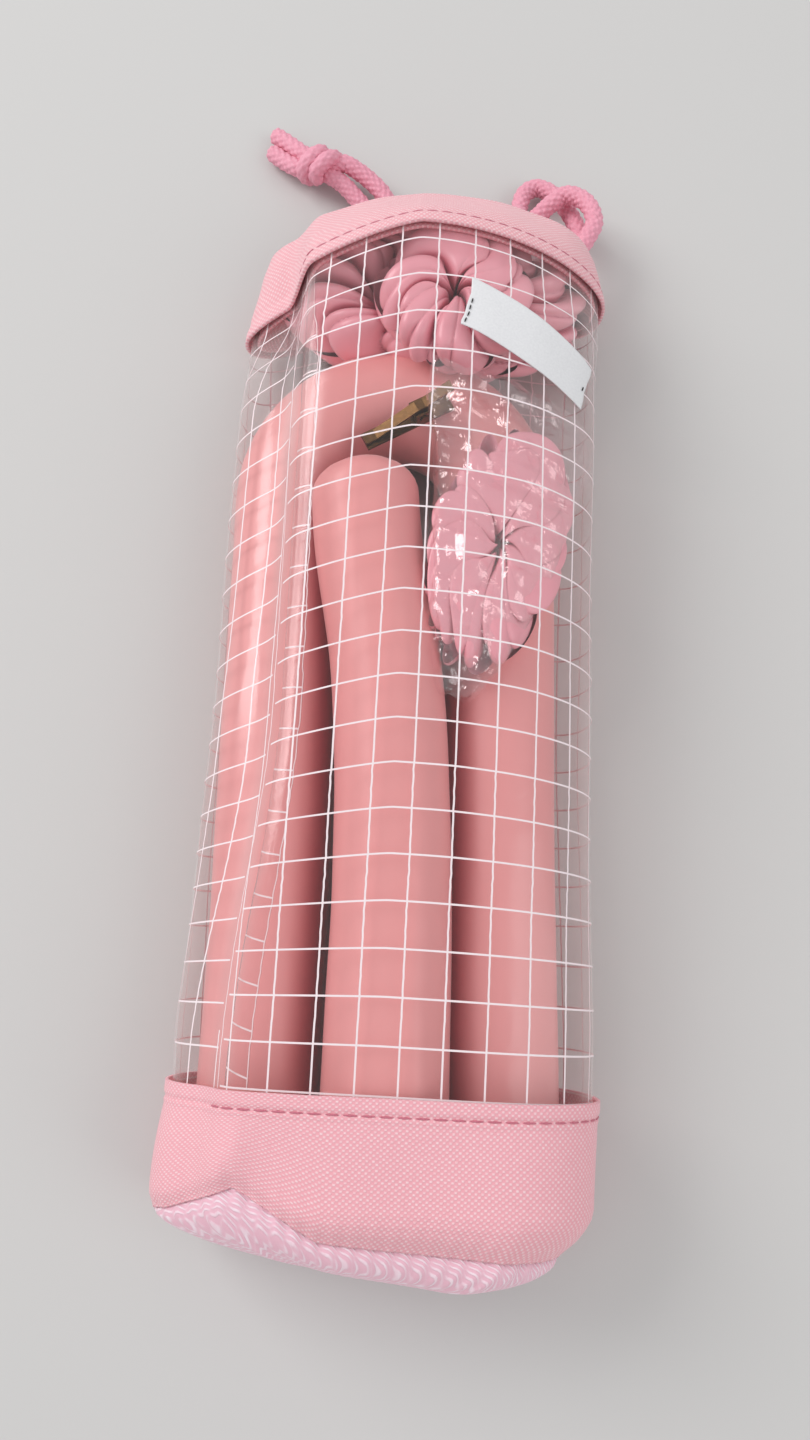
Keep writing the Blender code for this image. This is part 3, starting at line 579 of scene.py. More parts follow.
# %% Cord routes
CORD = 4.8 * MM
BRAID_STRANDS, BRAID_PITCH, BRAID_DEPTH = 8, 2.7 * MM, 0.62 * MM
CORD_ROUTES = {
    "left_cord_upper_leg": [
        (-8.3, -5.0, 3.9), (-8.4, 4.0, 3.9), (-9.4, 12.0, 4.1), (-12.2, 18.8, 4.5),
        (-16.6, 23.2, 5.2), (-20.6, 25.6, 6.2), (-24.0, 26.8, 7.0), (-29.0, 26.6, 6.8),
    ],
    "left_cord_lower_leg": [
        (-13.9, -5.0, 3.9), (-14.1, 3.0, 3.9), (-15.4, 10.0, 3.6), (-17.8, 15.4, 3.4),
        (-20.6, 18.6, 3.8), (-23.4, 21.2, 4.6), (-25.6, 22.6, 5.2), (-29.4, 24.6, 5.8),
    ],
    "left_cord_upper_tail": [
        (-31.6, 26.8, 6.6), (-36.6, 30.8, 5.6), (-40.8, 34.8, 4.2), (-45.5, 38.8, 2.9),
    ],
    "left_cord_lower_tail": [
        (-32.4, 24.8, 6.0), (-37.5, 26.4, 5.0), (-41.8, 29.6, 3.6), (-46.2, 33.4, 2.7),
    ],
    "right_cord_lower_leg": [
        (41.0, -5.0, 10.6), (43.4, 1.0, 9.9), (43.9, 5.0, 8.4), (42.0, 11.5, 6.6),
        (39.4, 17.2, 5.2), (35.6, 22.2, 4.0), (31.4, 24.2, 3.4), (27.9, 21.6, 3.8),
        (26.4, 15.3, 5.2), (25.4, 10.6, 6.0),
    ],
    "right_cord_upper_leg": [
        (42.0, -5.0, 16.3), (44.9, 0.5, 16.2), (46.4, 5.0, 15.4), (45.4, 10.6, 14.0),
        (42.6, 14.6, 12.6), (38.8, 16.2, 11.4), (35.0, 14.4, 9.8), (30.7, 10.8, 7.8),
        (26.6, 8.8, 6.4),
    ],
    "right_cord_upper_tail": [
        (24.4, 9.6, 6.0), (19.7, 11.7, 5.0), (14.6, 13.4, 3.4), (10.0, 14.0, 2.8),
        (3.5, 13.6, 2.6),
    ],
    "right_cord_lower_tail": [
        (24.4, 7.4, 6.0), (19.0, 6.0, 4.9), (14.6, 6.4, 3.3), (10.0, 6.8, 2.7),
        (2.5, 6.2, 2.6),
    ],
}


def smooth_path(points, spacing):
    """Points about one spacing apart on a Catmull-Rom curve through the given points."""
    p = [Vector(q) for q in points]
    p = [2 * p[0] - p[1]] + p + [2 * p[-1] - p[-2]]
    path = []
    for a, b, c, d in zip(p, p[1:], p[2:], p[3:]):
        steps = max(1, round((c - b).length / spacing))
        for k in range(steps):
            t = k / steps
            path.append(
                0.5 * (2 * b + (c - a) * t + (2 * a - 5 * b + 4 * c - d) * t * t
                       + (3 * b - a - 3 * c + d) * t ** 3)
            )
    return path + [p[-2]]


def path_length(path):
    return sum((b - a).length for a, b in zip(path, path[1:]))


# %% A tube along a path
def swept(name, material, path, radius, sides, relief=None, ends=0.0):
    """A tube round a path. radius is a number or one per point; relief(u, v) is added to it.
    ends is the length over which both ends close in a dome, or 0 for flat closed ends."""
    centre = np.array(path, float)
    run = np.concatenate([[0], np.cumsum(np.linalg.norm(np.diff(centre, axis=0), axis=1))])
    tangent = np.gradient(centre, axis=0)
    tangent /= np.linalg.norm(tangent, axis=1)[:, None]
    side = np.cross(tangent[0], (0.0, 0.3, 1.0))
    across = []
    for t in tangent:
        side = side - t * (side @ t)
        side = side / np.linalg.norm(side)
        across.append(side)
    across = np.array(across)
    up = np.cross(tangent, across)
    wide = np.broadcast_to(np.asarray(radius, float), run.shape)
    count = len(centre) - 1

    def place(u, v):
        k = np.clip(v * count, 0, count)
        mix = [np.stack([np.interp(k, np.arange(count + 1), a[:, i]) for i in range(3)], 1)
               for a in (centre, across, up)]
        here = np.interp(k, np.arange(count + 1), run)
        r = np.interp(k, np.arange(count + 1), wide)
        if relief is not None:
            r = r + relief(u, here)
        nearest = np.minimum(here, run[-1] - here)
        if ends:
            r = r * np.sqrt(np.clip(1 - (1 - np.clip(nearest / ends, 0, 1)) ** 2, 0, 1))
        else:
            r = np.where(nearest < 1e-9, 0, r)
        angle = 2 * np.pi * u
        spoke = np.cos(angle)[:, None] * mix[1] + np.sin(angle)[:, None] * mix[2]
        return mix[0] + spoke * r[:, None]

    metres = (2 * math.pi * float(np.mean(wide)), float(run[-1]))
    return moved_grid(name, material, sides, count, (0, 1), (0, 1), place, metres)


def braid(u, along):
    """Lozenges of a round braid: eight round the cord, one each 2.7 mm along it."""
    turn, climb = BRAID_STRANDS * np.pi * u, math.pi / BRAID_PITCH * along
    one, two = np.abs(np.cos(turn + climb)), np.abs(np.cos(turn - climb))
    return (np.sqrt(one * two) - 0.75) * BRAID_DEPTH


# %% Make the cords
LIP = Vector((0, MOUTH_Y, 0))
cord_pieces, cord_paths = {}, {}
for node, route in CORD_ROUTES.items():
    points = [Vector(p) * MM + LIP for p in route]
    path = smooth_path(points, 0.3 * MM)
    free_end = 1.6 * MM if node.endswith("tail") else 0.0
    cord_pieces[node] = swept(f"{node}_braid", CORD_BRAID, path, CORD / 2, 40, braid, free_end)
    cord_paths[node] = path
    print(node, round(path_length(path) / MM, 1), "mm")

# %% [markdown]
# ## The knots
# Two cords tied together in an overhand knot leave a short coil of cord round the pair. Each
# knot is one length of the same braid, wound one and a half turns and tucked in at both ends.

# %% Make the knots
def knot(name, centre, heading, lean):
    """A coil of cord round an axis that runs along heading. lean turns the coil's plane."""
    turn = Matrix.Rotation(heading, 3, "Z")
    points = []
    for k in range(81):
        t = k / 80
        angle = 2 * math.pi * (1.55 * t - 0.05)
        tuck = 1 - 0.5 * (abs(2 * t - 1)) ** 8
        across, rise = 4.3 * MM * math.cos(angle) * tuck, 3.4 * MM * math.sin(angle) * tuck
        along = (t - 0.5) * 5.4 * MM + across * lean
        points.append(Vector(centre) + turn @ Vector((along, across, rise)))
    path = smooth_path(points, 0.35 * MM)
    return swept(name, CORD_BRAID, path, CORD * 0.47, 32, braid, 1.0 * MM)


LEFT_KNOT_AT = Vector((-30.8, 25.7, 6.6)) * MM + LIP
RIGHT_KNOT_AT = Vector((24.5, 8.6, 6.6)) * MM + LIP
left_knot = knot("left_cord_knot_braid", LEFT_KNOT_AT, math.radians(146), 0.35)
right_knot = knot("right_cord_knot_braid", RIGHT_KNOT_AT, math.radians(185), 0.2)
print("knots made")

# %% [markdown]
# The legs stretch between the hem and the knot as the cord is drawn out. Here they stay where they
# are, and their CAD parts are hidden. Knots and tails ride on the cord's own body.

for side, knot_piece in (("left", left_knot), ("right", right_knot)):
    body = f"{side}_cord"
    settle(knot_piece, body, "pink_cord", f"{side}_cord_knot")
    tails = []
    for level in ("upper", "lower"):
        node = f"{side}_cord_{level}_tail"
        tails.append(settle(cord_pieces[node], body, "pink_cord", node))
    for level, tail in zip(("upper", "lower"), tails):
        node = f"{side}_cord_{level}_leg"
        leg, path = cord_pieces[node], cord_paths[node]
        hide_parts(node)
        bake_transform(leg)

# %% [markdown]
# ## Floor and light
# A plain pale floor lies under the pouch. One wide soft lamp stands high on the left, as from a
# window. A weaker one opposite and an even sky keep the shadows open.

# %% Floor, lamps and world
bm = bmesh.new()
bmesh.ops.create_grid(bm, x_segments=1, y_segments=1, size=3.0)
floor_mesh = bpy.data.meshes.new("floor")
bm.to_mesh(floor_mesh)
bm.free()
floor = add_object("floor", floor_mesh)
floor_mesh.transform(Matrix.Translation((0, 0, -0.0002)))
floor_mat, add = start_material("pale studio floor")
floor_shader = add("BsdfPrincipled", inputs={"Base Color": linear("#CDCBC9"), "Roughness": 0.9})
add("OutputMaterial", inputs={"Surface": floor_shader.outputs[0]})
floor_mesh.materials.append(floor_mat)


def lamp(name, place, size, power):
    data = bpy.data.lights.new(name, "AREA")
    data.shape, data.size, data.energy = "SQUARE", size, power
    light = add_object(name, data)
    light.location = place
    light.rotation_euler = (-Vector(place)).to_track_quat("-Z", "Y").to_euler()


lamp("window", (-1.1, 0.65, 0.95), 0.9, 13.0)
lamp("fill", (0.9, -0.3, 0.9), 0.8, 3.0)
world = bpy.data.worlds.new("studio")
world.use_nodes = True
bpy.context.scene.world = world
sky = world.node_tree.nodes["Background"].inputs
sky["Color"].default_value, sky["Strength"].default_value = linear("#F4F6F8"), 0.71
print("floor, two lamps and world ready")

# %% [markdown]
# ## The clear wall
# One sheet of vinyl is rolled into a tube. It is joined along the side seam and tucked under
# the canvas at both ends. The sheet is slightly wavy, as soft vinyl is, more where nothing is
# packed against it.

# %% Make the wall
TUCK = 4.5 * MM


def wall_wave(share, y):
    """How far the vinyl stands off its even section, more beside the seam and at the sides."""
    reach = ease((y - BAND_EDGE_Y) / (16 * MM)) * ease((HEM_EDGE_Y - y) / (16 * MM))
    wave = ripple(share, y / (60 * MM), 4, 7) + ripple(share, y / (110 * MM), 9, 18) * 0.4
    return (0.35 + wave * 0.75) * MM * reach


def on_wall(share, y, out=0.0):
    return on_tube(share, y, WALL_INSET, wall_wave(share, y) + out)


wall = moved_grid(
    "vinyl_wall", VINYL_SHEET, 200, 150, (0, 1), (BAND_EDGE_Y - TUCK, HEM_EDGE_Y + TUCK),
    on_wall, (0.24, 1.0),
)
thicken(wall, VINYL)
settle(wall, "pouch", "clear_vinyl", "clear_wall")
print("wall", len(wall.data.polygons), "faces")

# %% [markdown]
# ## The printed grid
# White ink is printed on the outside of the sheet in 10 mm steps along it and a little less
# round it. The lines are thin ribbons just above the vinyl. The sheet was cut at a slight slant
# to its print, so the lines run into the side seam.

# %% Make the grid
INK, INK_LIFT = 0.42 * MM, 0.05 * MM
STEP = 10.0 * MM
AROUND_STEP = 9.3 * MM
FIRST_ROW_Y = HEM_EDGE_Y - 4.0 * MM


def ink_row(k):
    y = FIRST_ROW_Y - k * STEP
    return moved_grid(
        f"row_{k}", PRINT_INK, 220, 1, (0.004, 0.996), (-INK / 2, INK / 2),
        lambda u, v: on_wall(u, y + v - 2.0 * MM * (u - 0.25), INK_LIFT),
    )


def ink_column(k):
    """A line along the sheet. Where it meets the seam it stops."""
    levels = np.linspace(BAND_EDGE_Y - 2 * MM, HEM_EDGE_Y + 2 * MM, 160)
    shares = share_at_x(levels, 4.1 * MM) + k * AROUND_STEP / girth(levels)
    inside = levels[(shares > 0.006) & (shares < 0.994)]
    if len(inside) < 8:
        return None

    def place(u, v):
        share = np.interp(v, levels, shares) + u * INK / girth(v)
        return on_wall(share, v, INK_LIFT)

    return moved_grid(
        f"column_{k}", PRINT_INK, 1, 150, (-0.5, 0.5), (inside[0], inside[-1]), place
    )


rows = [ink_row(k) for k in range(21)]
columns = [column for column in map(ink_column, range(-6, 26)) if column]
grid_lines = join(rows + columns, "printed_grid")
settle(grid_lines, "pouch", "white_tape")
print(len(rows), "rows and", len(columns), "columns")

# %% [markdown]
# ## The side seam
# The sheet's two edges are laid over each other along the fold and joined. Through the front
# panel the second layer shows as a strip with its own bits of grid, out of step with the first.

# %% Make the seam
SEAM_INSET = 2.6 * MM


def on_seam(across, y, out=0.0):
    """across is the distance from the fold, in metres, on the strip behind the front panel."""
    wave = ripple(across / (14 * MM), y / (25 * MM), 21, 2) * 0.25 * MM
    return on_tube(across / girth(y), y, SEAM_INSET, out + wave)


strip = moved_grid(
    "seam_strip", VINYL_SHEET, 8, 160, (0.4 * MM, 7.2 * MM), (BAND_EDGE_Y, HEM_EDGE_Y), on_seam
)
thicken(strip, VINYL)
settle(strip, "pouch", "clear_vinyl", "side_seam_strip")
ticks = [
    moved_grid(
        f"tick_{k}", PRINT_INK, 8, 1, (0.6 * MM, 7.0 * MM), (-INK / 2, INK / 2),
        lambda u, v, k=k: on_seam(u, FIRST_ROW_Y - 5.5 * MM - k * STEP + v - u * 0.3, INK_LIFT),
    )
    for k in range(20)
]
edges = [
    moved_grid(name, PRINT_INK, 1, 160, (-half, half), (BAND_EDGE_Y, HEM_EDGE_Y), place)
    for name, half, place in (
        ("seam_edge", 0.12 * MM, lambda u, v: on_seam(u + 7.1 * MM, v, INK_LIFT)),
        ("fold_edge", 0.14 * MM, lambda u, v: on_wall(u / girth(v), v, INK_LIFT)),
    )
]
seam_print = join(ticks + edges, "seam_print")
settle(seam_print, "pouch", "white_tape", "side_seam_thread")
print("seam strip with", len(ticks), "bits of grid")

# %% [markdown]
# ## Stitch rows
# Lockstitch shows as short dashes. One small long ellipsoid is placed again and again along
# each row.

# %% Stitch helper
def stitch_row(name, material, points, pitch, length, radius):
    """Long ellipsoids of one size along a path, a pitch apart."""
    path = [Vector(p) for p in points]
    run = np.concatenate([[0], np.cumsum([(b - a).length for a, b in zip(path, path[1:])])])
    spots = np.arange(pitch / 2, run[-1], pitch)
    arr = np.array(path)
    bm = bmesh.new()
    for spot in spots:
        here, ahead = (
            Vector([np.interp(s, run, arr[:, i]) for i in range(3)]) for s in (spot, spot + 1e-4)
        )
        made = bmesh.ops.create_uvsphere(bm, u_segments=6, v_segments=4, radius=1)
        turn = (ahead - here).normalized().to_track_quat("Z", "Y").to_matrix().to_4x4()
        size = Matrix.Diagonal((radius, radius, length / 2, 1))
        bmesh.ops.transform(bm, matrix=Matrix.Translation(here) @ turn @ size, verts=made["verts"])
    mesh = bpy.data.meshes.new(name)
    bm.to_mesh(mesh)
    bm.free()
    mesh.shade_smooth()
    mesh.materials.append(material)
    print(name, len(spots), "stitches")
    return add_object(name, mesh)


# %% [markdown]
# ## The base
# The band's upper edge is turned under and sewn, which makes a slightly raised, paler rim. Its
# lower edge is sewn to the disc. The slack of the canvas is caught there in a pinch near the
# side seam and in a small pleat on the right.

# %% Shape of the band
BAND_SETBACK = 3.6 * MM  # stitch row to the band's upper edge


def top_weight(share, y):
    """1 on the upper side of the pouch, 0 under it."""
    z = on_tube(share, y)[:, 2]
    return ease((z - 12 * MM) / (14 * MM))


def lower_edge(share):
    """Where the band ends and the disc begins, further up on the upper side."""
    level = np.full(share.shape, BASE_SEAM_Y + 2 * MM)
    x = on_tube(share, level)[:, 0]
    marks = np.array([-50, -44, -36, -29, -24, -12, 0, 20, 34, 42]) * MM
    lifts = np.array([9.5, 11.0, 14.5, 17.5, 14.5, 7.4, 6.4, 5.2, 4.2, 4.0]) * MM
    upper = top_weight(share, level)
    under_left = 6 * MM * ease((-x - 28 * MM) / (14 * MM)) * (1 - upper)
    return BASE_SEAM_Y + np.interp(x, marks, lifts) * upper + under_left


def band_relief(share, y):
    """Rim, stitch groove, soft dents and the puckers along the lower seam."""
    from_top = BAND_EDGE_Y - y
    from_low = y - lower_edge(share)
    rim = 0.45 * MM * ease((5.2 * MM - from_top) / (1.2 * MM))
    groove = -0.5 * MM * np.exp(-(((from_top - BAND_SETBACK) / (0.7 * MM)) ** 2))
    dents = ripple(share, y / (60 * MM), 33, 7) * 1.3 * MM * ease(from_top / (12 * MM))
    pucker = np.sin(share * 2 * np.pi * 60) * 0.25 * MM * np.exp(-from_low / (3 * MM))
    tuck = -1.1 * MM * np.exp(-((from_low / (2.2 * MM)) ** 2))
    x = on_tube(share, y)[:, 0]
    crease = from_low - 6 * MM - (x + 29 * MM) * 0.25
    pinch = 2.2 * MM * np.exp(-(((x + 30 * MM) / (5 * MM)) ** 2) - (crease / (6 * MM)) ** 2)
    pleat = 1.2 * MM * np.exp(-(((x - 27 * MM) / (4 * MM)) ** 2) - (from_low / (5 * MM)) ** 2)
    return rim + groove + dents + pucker + tuck + (pinch + pleat) * top_weight(share, y)


def on_band(share, t, out=0.0):
    """t runs from the lower seam, 0, to the rim, 1."""
    low = lower_edge(share)
    y = low + t * (BAND_EDGE_Y - low)
    return on_tube(share, y, 0.0, band_relief(share, y) + out)


band = moved_grid(
    "canvas_band", BAND_CANVAS, 320, 90, (0, 1), (0, 1), on_band, (0.24, 0.0355)
)
thicken(band, CANVAS)
settle(band, "pouch", "pink_canvas", "base_band")
row_share = np.linspace(0.0, 0.56, 240)
row_y = np.full(240, BAND_EDGE_Y - BAND_SETBACK)
band_row = on_tube(row_share, row_y, 0.0, band_relief(row_share, row_y) + 0.1 * MM)
band_stitches = stitch_row(
    "band_stitches", SEWING_THREAD, band_row, 3.7 * MM, 3.1 * MM, 0.24 * MM
)
settle(band_stitches, "pouch", "pink_thread", "base_band_thread")

# %% [markdown]
# ## The disc
# The disc closes the tube. It is cut on the bias, so its weave runs slantwise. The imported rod
# pushes it out into a shallow dome whose rim shows beyond the band.

# %% Make the disc
DISC_X, DISC_Z = -1 * MM, 17 * MM


def on_disc(share, reach):
    """reach runs from the middle, 0, to the seam with the band, 1."""
    rim = on_band(share, np.zeros_like(share), -0.3 * MM)
    bulge = np.sqrt(np.clip(1 - reach ** 2.6, 0, 1))
    x = DISC_X + (rim[:, 0] - DISC_X) * reach
    deepest = -LENGTH / 2 + 3.2 * MM + 0.11 * np.maximum(20 * MM - x, 0)
    z = DISC_Z + (rim[:, 2] - DISC_Z) * reach
    y = rim[:, 1] + (deepest - rim[:, 1]) * bulge
    slack = ripple(share, reach, 52, 5) * 0.6 * MM * (1 - reach) ** 0.5 * np.minimum(1, reach * 3)
    return np.stack([x, y + slack, z], 1)


disc = moved_grid("canvas_disc", DISC_CANVAS, 320, 60, (0, 1), (0, 1), on_disc, (0.24, 0.04))
spots = read_points(disc.data)
write_uv(disc.data, np.stack([spots[:, 0], spots[:, 2] - spots[:, 1]], 1))
thicken(disc, CANVAS)
settle(disc, "pouch", "pink_canvas", "base_disc")
print("base made")

# %% [markdown]
# ## The hem
# The canvas is folded over the cords and sewn down, which leaves a plump channel. The cords
# gather it, so soft puckers run down from the mouth.

# %% Make the hem
CHANNEL_DEEP = 7.6 * MM
CORD_INSET, CORD_FROM_LIP = 4.2 * MM, 6.5 * MM
HEM_SETBACK = 3.5 * MM


def hem_line(t):
    """Middle line of the fold: distance from the lower edge and inset, t from 0 to 1."""
    marks = np.linspace(0, 1, 11)
    away = np.array([0, 4.5, 9, 12.5, 16.4, 18.7, 16.4, 12.5, 9, 5.0, 0]) * MM
    inset = np.array([0.3, 0.3, 0.25, 0.3, 1.0, 4.1, 7.2, 7.6, 7.4, 2.8, 2.4]) * MM
    return np.interp(t, marks, away), np.interp(t, marks, inset)


def on_hem(share, t):
    away, inset = hem_line(t)
    y = HEM_EDGE_Y + away
    gather = ripple(share, away / (60 * MM), 71, 16) * 1.1
    channel = ease((away - 4.5 * MM) / (6 * MM))
    groove = -0.45 * MM * np.exp(-(((away - HEM_SETBACK) / (0.8 * MM)) ** 2)) * (t < 0.5)
    rim = 0.4 * MM * (t < 0.3) * ease((4.6 * MM - away) / (1.2 * MM))
    out = gather * 0.9 * MM * channel + groove + rim
    outer = on_tube(share, y, 0.0, out)
    inner = on_tube(share, y, CHANNEL_DEEP, out * 0.4)
    mix = np.clip(inset / CHANNEL_DEEP, 0, 1)[:, None]
    return outer * (1 - mix) + inner * mix


hem = moved_grid("canvas_hem", HEM_CANVAS, 300, 80, (0, 1), (0, 1), on_hem, (0.22, 0.05))
thicken(hem, CANVAS, 0.0)
settle(hem, "pouch", "pink_canvas", "hem_band")
hem_row_y = np.full(240, HEM_EDGE_Y + HEM_SETBACK)
hem_row = on_tube(row_share, hem_row_y, 0.0, 0.1 * MM)
hem_stitches = stitch_row("hem_stitches", SEWING_THREAD, hem_row, 3.6 * MM, 3.0 * MM, 0.24 * MM)
settle(hem_stitches, "pouch", "pink_thread", "hem_thread")
for node, first, last in (("front_cord_run", 0.03, 0.47), ("back_cord_run", 0.53, 0.97)):
    shares = np.linspace(first, last, 90)
    line = on_tube(shares, np.full(90, MOUTH_Y - CORD_FROM_LIP), CORD_INSET)
    hidden = swept(f"{node}_braid", CORD_BRAID, [Vector(p) for p in line], CORD / 2, 12)
    settle(hidden, "pouch", "pink_cord", node)
print("hem made")

# %% [markdown]
# ## The label
# A short length of white woven tape, tacked with dark thread at both ends. It is left blank.

# %% Make the label
LABEL_LONG, LABEL_WIDE, LABEL_TURN = 34 * MM, 14 * MM, math.radians(-21)
LABEL_FROM_SEAM, LABEL_Y = 62.0 * MM, HEM_EDGE_Y - 27 * MM


def on_label(a, b, out=0.0):
    """A point of the label from its own length and width."""
    s = LABEL_FROM_SEAM + a * math.cos(LABEL_TURN) - b * math.sin(LABEL_TURN)
    y = LABEL_Y + a * math.sin(LABEL_TURN) + b * math.cos(LABEL_TURN)
    curl = 0.5 * MM * (np.abs(b) / (LABEL_WIDE / 2)) ** 3
    return on_wall(s / girth(y), y, 0.45 * MM + curl + out)


label = moved_grid(
    "woven_tag", WOVEN_TAPE, 90, 40, (-LABEL_LONG / 2, LABEL_LONG / 2),
    (-LABEL_WIDE / 2, LABEL_WIDE / 2), on_label,
)
thicken(label, 0.3 * MM, 0.0)
settle(label, "pouch", "white_tape", "woven_label")
tack = np.linspace(-0.46, 0.1, 24) * LABEL_WIDE
for side, end in (("left", -LABEL_LONG / 2 + 0.9 * MM), ("right", LABEL_LONG / 2 - 0.9 * MM)):
    row = on_label(np.full(24, end), tack * (1 if side == "left" else 0.3), 0.3 * MM)
    stitches = stitch_row(f"tacking_{side}", DARK_THREAD, row, 1.9 * MM, 1.5 * MM, 0.2 * MM)
    settle(stitches, "pouch", "dark_thread", f"label_thread_{side}")

# %% [markdown]
# ## The satin rod
# A foam rod in a satin sleeve is folded into three legs: up the left, over a bend, down the
# right, round a bend at the base and up the middle, where it ends in a blunt dome. The sleeve
# is a little slack, so it shows soft dents.

# %% The rod's route
ROD_RADIUS = 13.8 * MM
ROD_Z = 2.0 * MM + ROD_RADIUS
ROD_TOP = ROD_Z + ROD_RADIUS
LEFT_LEG_X, LEFT_FOOT_X, LEFT_FOOT_LIFT = -30.6 * MM, -27.4 * MM, 7 * MM
RIGHT_LEG_X, RIGHT_FOOT_X = 22.4 * MM, 26.8 * MM
BEND_Y = 53.5 * MM
MIDDLE_LEG = [
    (1.2, -80, 30.0), (0.8, -50, 29.8), (-0.8, -20, 29.6), (-4.0, 10, 29.6), (-9.0, 36, 29.8),
    (-11.6, 58.5, 30.0),
]
BASE_END_Y = -127.5 * MM


def rod_route():
    """Points along the rod's centre, from its lower left end to the dome on top."""
    upper_r, lower_r = (RIGHT_LEG_X - LEFT_LEG_X) / 2, ROD_RADIUS + 0.7 * MM
    upper_c = Vector((LEFT_LEG_X + upper_r, BEND_Y, ROD_Z))
    lower_y = BASE_END_Y + ROD_RADIUS + lower_r
    tilt = math.radians(30)
    inward = Vector((-math.cos(tilt), 0, math.sin(tilt)))
    foot = Vector((RIGHT_FOOT_X, lower_y, ROD_Z))
    knee = Vector((RIGHT_LEG_X, BEND_Y, ROD_Z))
    left_top = Vector((LEFT_LEG_X, BEND_Y, ROD_Z))
    left_foot = Vector((LEFT_FOOT_X, BASE_END_Y + LEFT_FOOT_LIFT, ROD_Z))
    route = [left_foot.lerp(left_top, k / 11) for k in range(12)]
    for k in range(1, 12):
        a = math.pi * (1 - k / 12)
        route.append(upper_c + Vector((math.cos(a), math.sin(a), 0)) * upper_r)
    route += [knee.lerp(foot, k / 11) for k in range(12)]
    for k in range(1, 9):
        a = math.pi * k / 8
        drop = Vector((0, lower_r * math.sin(a), 0))
        route.append(foot + inward * lower_r * (1 - math.cos(a)) - drop)
    route += [Vector(p) * MM for p in MIDDLE_LEG]
    return route


def sleeve_dents(u, along):
    """The slack of the satin sleeve over its foam."""
    long_dents = ripple(u, along / (85 * MM), 61, 3, 6) * 0.55
    small = ripple(u, along / (26 * MM), 67, 6, 8) * 0.22
    return (long_dents + small) * MM


rod_line = smooth_path(rod_route(), 1.6 * MM)
slim = 1 - 0.08 * ease((np.arange(len(rod_line)) / len(rod_line) - 0.72) / 0.2)
width = (ROD_RADIUS + 0.5 * MM) * slim
rod = swept("satin_sleeve", ROD_SATIN, rod_line, width, 72, sleeve_dents, 9 * MM)
press_under_wall(rod, 1.0 * MM, 1.0 * MM)
settle(rod, "pouch", "satin", "satin_rod")
print("rod", round(path_length(rod_line) / MM), "mm long")

# %% [markdown]
# ## The scrunchies
# A satin tube gathered on elastic makes a ring of deep pleats that run out from the middle,
# pinched inside and full outside. The pleats are ridged waves whose places wander. The upper
# scrunchie is two bunches of folds, one in front and one behind it, joined to one piece.

# %% Scrunchie helper
def scrunchie(name, centre, major, minor, stretch, turn, seed, pleats):
    """A gathered ring. stretch scales it along Y, and turn tilts it."""
    def place(u, v):
        a, b = 2 * np.pi * u, 2 * np.pi * v
        wander = ripple(u, v, seed, 3, 6)
        swirl = a + 0.30 * np.sin(b + 2 * wander) + 0.35 * wander
        full = 0.5 + 0.5 * np.cos(b - 0.4)
        puff = np.abs(np.cos(pleats * swirl / 2 + 1.2 * np.sin(b))) ** 0.45
        drift = 2.5 * ripple(u, v, seed + 1, 3, 5)
        small = np.abs(np.cos((pleats + 4) * swirl / 2 + drift)) ** 0.6
        r = minor * (0.42 + (0.34 + 0.2 * full) * puff + 0.2 * small * full + 0.22 * wander)
        spoke = np.stack([np.cos(a), np.sin(a), np.zeros_like(a)], 1)
        p = spoke * (major + r * np.cos(b))[:, None]
        p[:, 2] += r * np.sin(b)
        p[:, 1] *= stretch
        return p @ np.array(turn.to_3x3()).T + np.array(centre)

    around = 2 * math.pi * major
    return moved_grid(
        name, SCRUNCHIE_SATIN, 420, 120, (0, 1), (0, 1), place, (around, 2 * math.pi * minor)
    )


# %% Make the scrunchies
LEVEL = Matrix.Identity(4)
BAG_TURN = Matrix.Rotation(math.radians(-14), 4, "Z") @ Matrix.Rotation(math.radians(12), 4, "Y")
BAG_AT = Vector((21.5 * MM, 36 * MM, ROD_TOP + 6.5 * MM))
FRONT_AT = Vector((9 * MM, 102 * MM, ROD_TOP + 4.5 * MM))
BACK_AT = Vector((4 * MM, 108 * MM, ROD_TOP - 11 * MM))
front_folds = scrunchie("front_folds", FRONT_AT, 8.8 * MM, 10.2 * MM, 1.0, LEVEL, 5, 6)
back_folds = scrunchie("back_folds", BACK_AT, 26 * MM, 13 * MM, 0.5, LEVEL, 12, 11)
upper_ring = join([front_folds, back_folds], "upper_satin_ring")
press_under_wall(upper_ring, 3.0 * MM, 0.6 * MM)
settle(upper_ring, "pouch", "satin", "upper_scrunchie")
bagged_ring = scrunchie("bagged_satin_ring", BAG_AT, 7.6 * MM, 8.6 * MM, 1.8, BAG_TURN, 15, 8)
press_under_wall(bagged_ring, 4.0 * MM, 2.6 * MM)
settle(bagged_ring, "pouch", "satin", "bagged_scrunchie")
print("two scrunchies made")

# %% [markdown]
# ## The film bag
# Thin stiff film crumples into flat facets with sharp creases between them. Triangle waves in
# many directions, added up, give such facets.

# %% Make the bag
BAG_HALF = (16.5 * MM, 7.4 * MM)


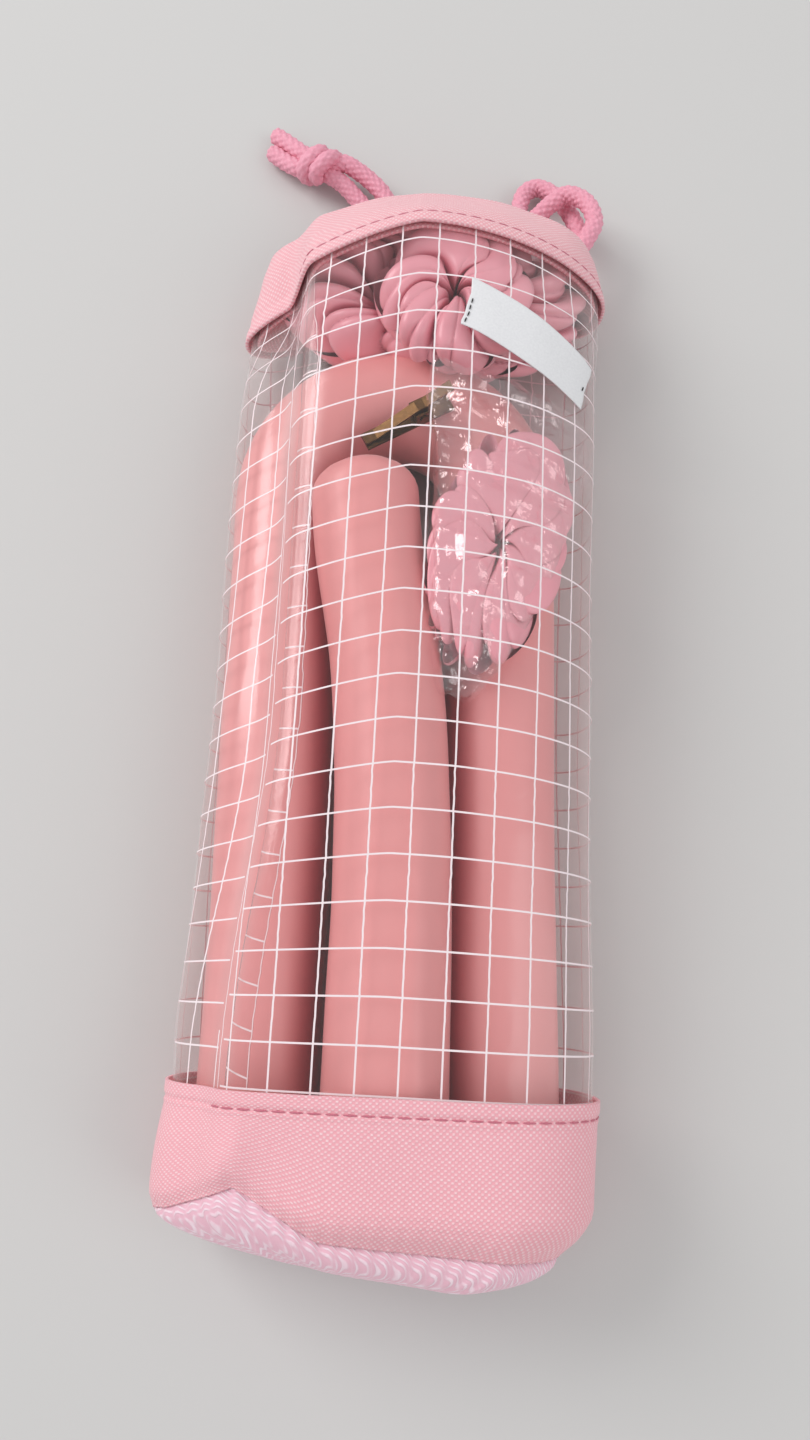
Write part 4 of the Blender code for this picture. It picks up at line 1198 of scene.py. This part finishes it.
def crumple(x, y, z, seed, count=9):
    """A faceted height from -1 to 1: triangle waves in random directions."""
    chance = random.Random(seed)
    total = 0
    for _ in range(count):
        d = Vector([chance.gauss(0, 1) for _ in range(3)]).normalized()
        pitch = chance.uniform(5, 13) * MM
        wave = (x * d.x + y * d.y + z * d.z) / pitch + chance.random()
        total = total + np.abs((wave % 1) * 2 - 1) * 2 - 1
    return total / count ** 0.5


def on_bag(u, v):
    """u goes round the sleeve and v along it, from its sealed lower end."""
    marks = [0.0, 0.05, 0.2, 0.45, 0.7, 0.9, 1.0]
    widths = [0.15, 0.4, 0.66, 0.92, 1.1, 1.35, 1.3]
    scale = np.interp(v, marks, widths)
    a = 2 * np.pi * u
    x = BAG_HALF[0] * scale * np.sign(np.cos(a)) * np.abs(np.cos(a)) ** 0.75
    z = BAG_HALF[1] * scale ** 0.5 * np.sign(np.sin(a)) * np.abs(np.sin(a)) ** 0.75
    x = x - 7 * MM * v ** 3
    y = (-39 + 78 * v) * MM
    folds = crumple(x, y, z, 3) * 0.8 * MM * (0.4 + 0.6 * np.abs(np.sin(a)))
    z = z + folds * np.sign(np.sin(a))
    y = y + crumple(x, y, z, 8) * 1.1 * MM
    return np.stack([x, y, z], 1) @ np.array(BAG_TURN.to_3x3()).T + np.array(BAG_AT)


def fold_down(piece, depth):
    """Facets that drop away from the wall, by up to a given depth."""
    p = read_points(piece.data)
    facets = crumple(p[:, 0], p[:, 1], p[:, 2] * 0.2, 29, 7)
    p[:, 2] -= depth * np.clip(0.5 + 0.5 * facets, 0, 1.4)
    write_points(piece.data, p)


bag = moved_grid("crumpled_film_bag", BAG_FILM, 200, 160, (0, 1), (0, 1), on_bag, (0.05, 0.06))
press_under_wall(bag, 1.2 * MM, 0.1 * MM)
fold_down(bag, 2.4 * MM)
bag.data.shade_flat()
settle(bag, "pouch", "clear_film", "film_bag")
print("film bag", len(bag.data.polygons), "facets")

# %% [markdown]
# ## The hair clip
# The clip's pieces keep their CAD shape, its spring as a plain ring, and take the gold finish.

# %% Gold on the clip
for node in ("clip_lower_arm", "clip_upper_arm", "clip_pin", "clip_spring"):
    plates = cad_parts[node].data.materials
    plates.clear()
    plates.append(GOLD_PLATE)
print("clip plated")
